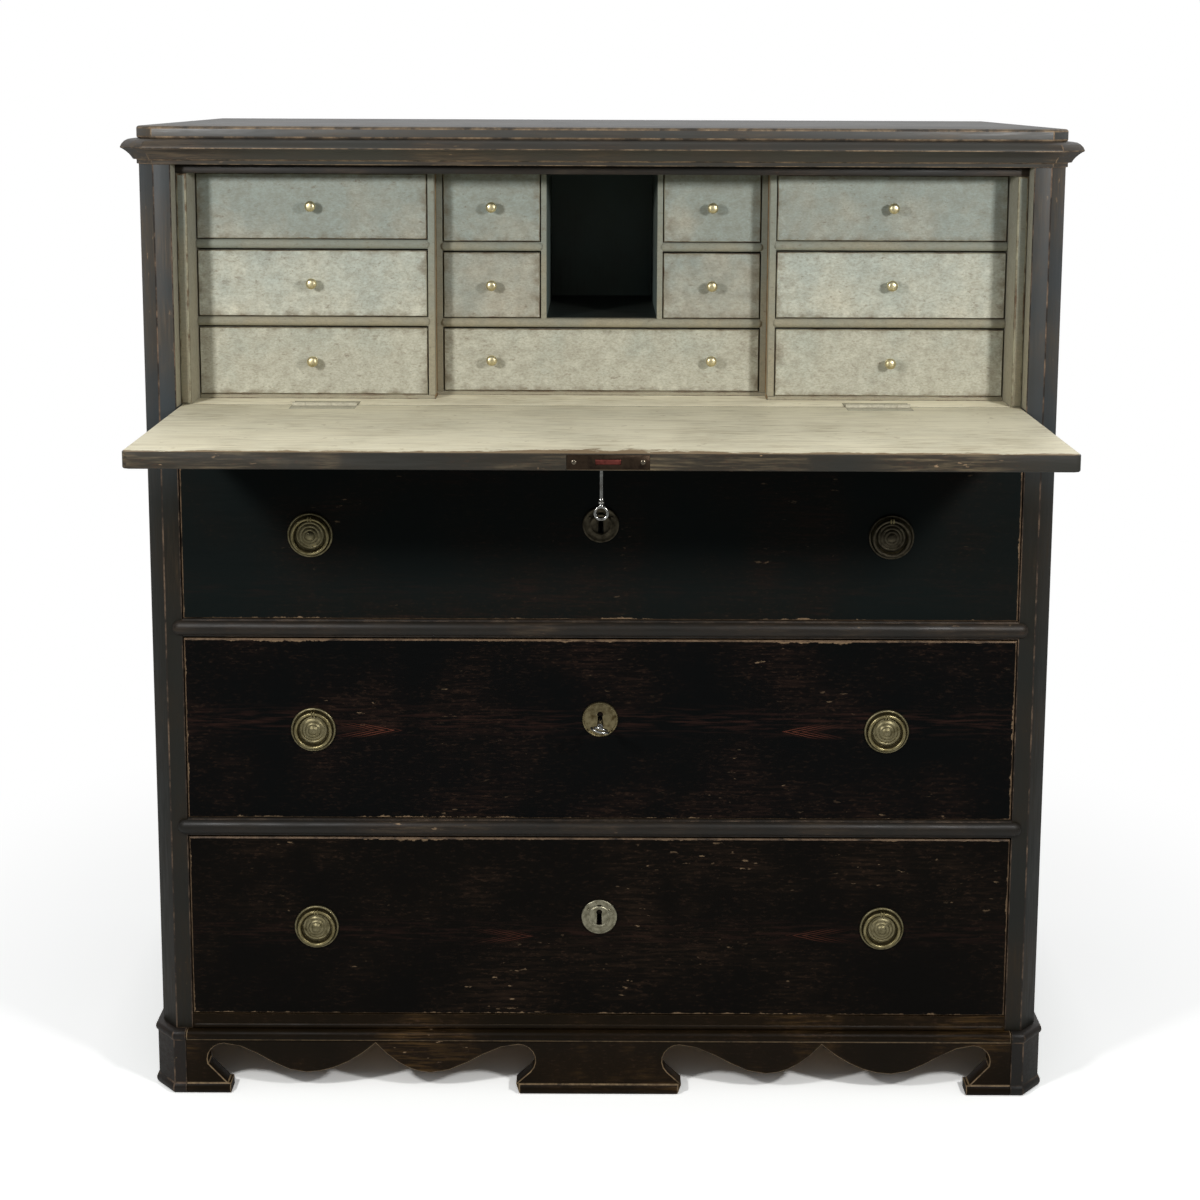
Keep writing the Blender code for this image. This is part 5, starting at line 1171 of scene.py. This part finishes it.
milled_model = turned("milled_model", in_mm(MILLED_PROFILE), PLATE_SIDES)
bpy.ops.object.mode_set(mode="EDIT")
bpy.ops.mesh.select_mode(type="VERT")
bpy.ops.mesh.select_all(action="DESELECT")
mesh = bmesh.from_edit_mesh(milled_model.data)
rim_inside = MILLED_PROFILE[4][0] * MM
rim = [corner for corner in mesh.verts if corner.co.z > MM and corner.co.xy.length > rim_inside]
for corner in rim:
    step = round(math.atan2(corner.co.y, corner.co.x) / (2 * math.pi) * PLATE_SIDES)
    corner.select_set(step % 2 == 0)
bmesh.update_edit_mesh(milled_model.data)
bpy.ops.transform.resize(value=(MILL_DEPTH, MILL_DEPTH, 1), center_override=(0, 0, 0))
bpy.ops.object.mode_set(mode="OBJECT")
pierce_keyhole(milled_model)
milled_model.data.materials.append(milled_brass)

for row, model in (("upper", stepped_model), ("middle", milled_model), ("lower", stepped_model)):
    node = "escutcheon_" + row
    low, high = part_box(node)
    rose = placed(model, node + "_dressed")
    # The upper escutcheon takes the darker brass: painted shade under the flap.
    if row == "upper":
        rose.data.materials[0] = shaded_brass
    face_front(rose, ((low.x + high.x) / 2, high.y, (low.z + high.z) / 2))
    seat(rose, node, "drawer_" + row)
low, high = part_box("flap_escutcheon")
rose = placed(stepped_model, "flap_escutcheon_dressed")
rose.data.transform(Matrix.Translation(((low.x + high.x) / 2, (low.y + high.y) / 2, high.z))
                    @ Matrix.Rotation(math.radians(180), 4, "X"))
seat(rose, "flap_escutcheon", "flap")
bpy.data.objects.remove(stepped_model)
bpy.data.objects.remove(milled_model)


# The keys: a round steel shank with a ringed collar, and a bow bent from wire and brazed on. One hangs from
# the flap's lock, and the other stands in the middle drawer's.
COLLAR_PROFILE = ((1.7, 0.0), (2.7, 0.5), (3.0, 1.2), (2.7, 1.9), (2.0, 2.3), (2.0, 2.8), (3.2, 3.4),
                  (3.6, 4.3), (3.2, 5.2), (2.1, 5.7), (2.1, 6.2), (2.7, 6.6), (2.9, 7.2), (2.6, 7.8),
                  (1.9, 8.4), (1.7, 10.2))
SHANK_RADIUS = 1.7
KEY_SIDES = 24
COLLAR_TO_BOW = 15.6
FLAP_KEY_SHANK = 43.0
DRAWER_KEY_SHANK = 29.4
BOW_RADIUS = 6.3 * MM
BOW_WIRE = 1.4 * MM
DRAWER_BOW_STRETCH = 1.45
DRAWER_KEY_TILT = 14


def key_model(name, shank, stretch):
    """A key that stands up the Z axis, with its bow, stretched sideways, in the XZ plane."""
    profile = [(SHANK_RADIUS, 0.0)] + [(radius, shank + height) for radius, height in COLLAR_PROFILE]
    key = turned(name, in_mm(profile), KEY_SIDES)
    bow = hoop(name + "_bow", BOW_RADIUS, BOW_WIRE)
    bow.data.transform(Matrix.Translation((0, 0, (shank + COLLAR_TO_BOW) * MM))
                       @ Matrix.Diagonal((stretch, 1, 1, 1))
                       @ Matrix.Rotation(math.radians(90), 4, "X"))
    key = joined(key, bow)
    key.data.materials.append(key_steel)
    return key


key_steel = old_metal("rubbed key steel", "#c2c2be", "#77736b", 0.24, 5.5)
low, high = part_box("flap_escutcheon")
flap_key = key_model("flap_key_dressed", FLAP_KEY_SHANK, 1)
flap_key.data.transform(Matrix.Translation((0, (low.y + high.y) / 2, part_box("flap_key")[1].z))
                        @ Matrix.Rotation(math.radians(180), 4, "X"))
seat(flap_key, "flap_key", "flap_key")
low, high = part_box("drawer_key")
drawer_key = key_model("drawer_key_dressed", DRAWER_KEY_SHANK, DRAWER_BOW_STRETCH)
drawer_key.data.transform(Matrix.Rotation(math.radians(-DRAWER_KEY_TILT), 4, "Z"))
face_front(drawer_key, ((low.x + high.x) / 2, high.y, (low.z + high.z) / 2))
seat(drawer_key, "drawer_key", "drawer_key")


# The flap's lock: an iron plate let into the edge of the flap and held by two screws, with a bolt that has
# rusted red. The bolt slides out of the plate when the key turns.
SCREW_PROFILE = ((2.3, 0.0), (2.3, 0.2), (2.0, 0.45), (1.2, 0.6), (0.3, 0.65))
SCREW_SLOT = (5.0 * MM, 0.6 * MM, 0.8 * MM)
SCREW_PLACES = (-27.0 * MM, 40.5 * MM)
SCREW_TURN = 35
SCREW_STEP = 70
LOCK_EASE = 0.4 * MM
BOLT_EASE = 0.5 * MM
lock_iron = old_metal("browned lock iron", "#43372c", "#2a221c", 0.55, 6.6)
screw_iron = old_metal("worn screw heads", "#8d8271", "#463c33", 0.35, 8.6)
bolt_iron = old_metal("rusted bolt iron", "#8a4a42", "#5e302a", 0.5, 7.6)
lock = copied("flap_lock")
lock.data.materials.append(lock_iron)
ease(lock, lock_iron, LOCK_EASE)
low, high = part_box("flap_lock")
for number, x in enumerate(SCREW_PLACES):
    screw = turned(f"screw_{number}", in_mm(SCREW_PROFILE), KEY_SIDES)
    pierce(screw, block("screw_slot", SCREW_SLOT, (0, 0, SCREW_PROFILE[-1][1] * MM), SCREW_SLOT[1] / 5))
    screw.data.materials.append(screw_iron)
    screw.data.transform(Matrix.Rotation(math.radians(SCREW_TURN + SCREW_STEP * number), 4, "Z"))
    face_front(screw, (x, low.y, (low.z + high.z) / 2))
    lock = joined(lock, screw)
seat(lock, "flap_lock", "flap")
bolt = copied("flap_bolt")
bolt.data.materials.append(bolt_iron)
ease(bolt, bolt_iron, BOLT_EASE)
seat(bolt, "flap_bolt", "flap_bolt")


# The flap's hinges: cast iron butts with their knuckles above the joint, painted over with the desk and worn
# down to the iron on the knuckles.
HINGE_EASE = 0.35 * MM
hinge_paint = pale_paint("pale paint on the hinges", "x", "#b2b3a3", "#bfb9a2", 9.1)
hinge_edge = worn_arris("rubbed hinge edge", 0.6, "#a8a48d", "#4a4238", 3.7)
for side in ("left", "right"):
    for node, body in (("hinge_" + side, "carcase"), ("hinge_flap_" + side, "flap")):
        leaf = copied(node)
        leaf.data.materials.append(hinge_paint)
        ease(leaf, hinge_edge, HINGE_EASE)
        seat(leaf, node, body)
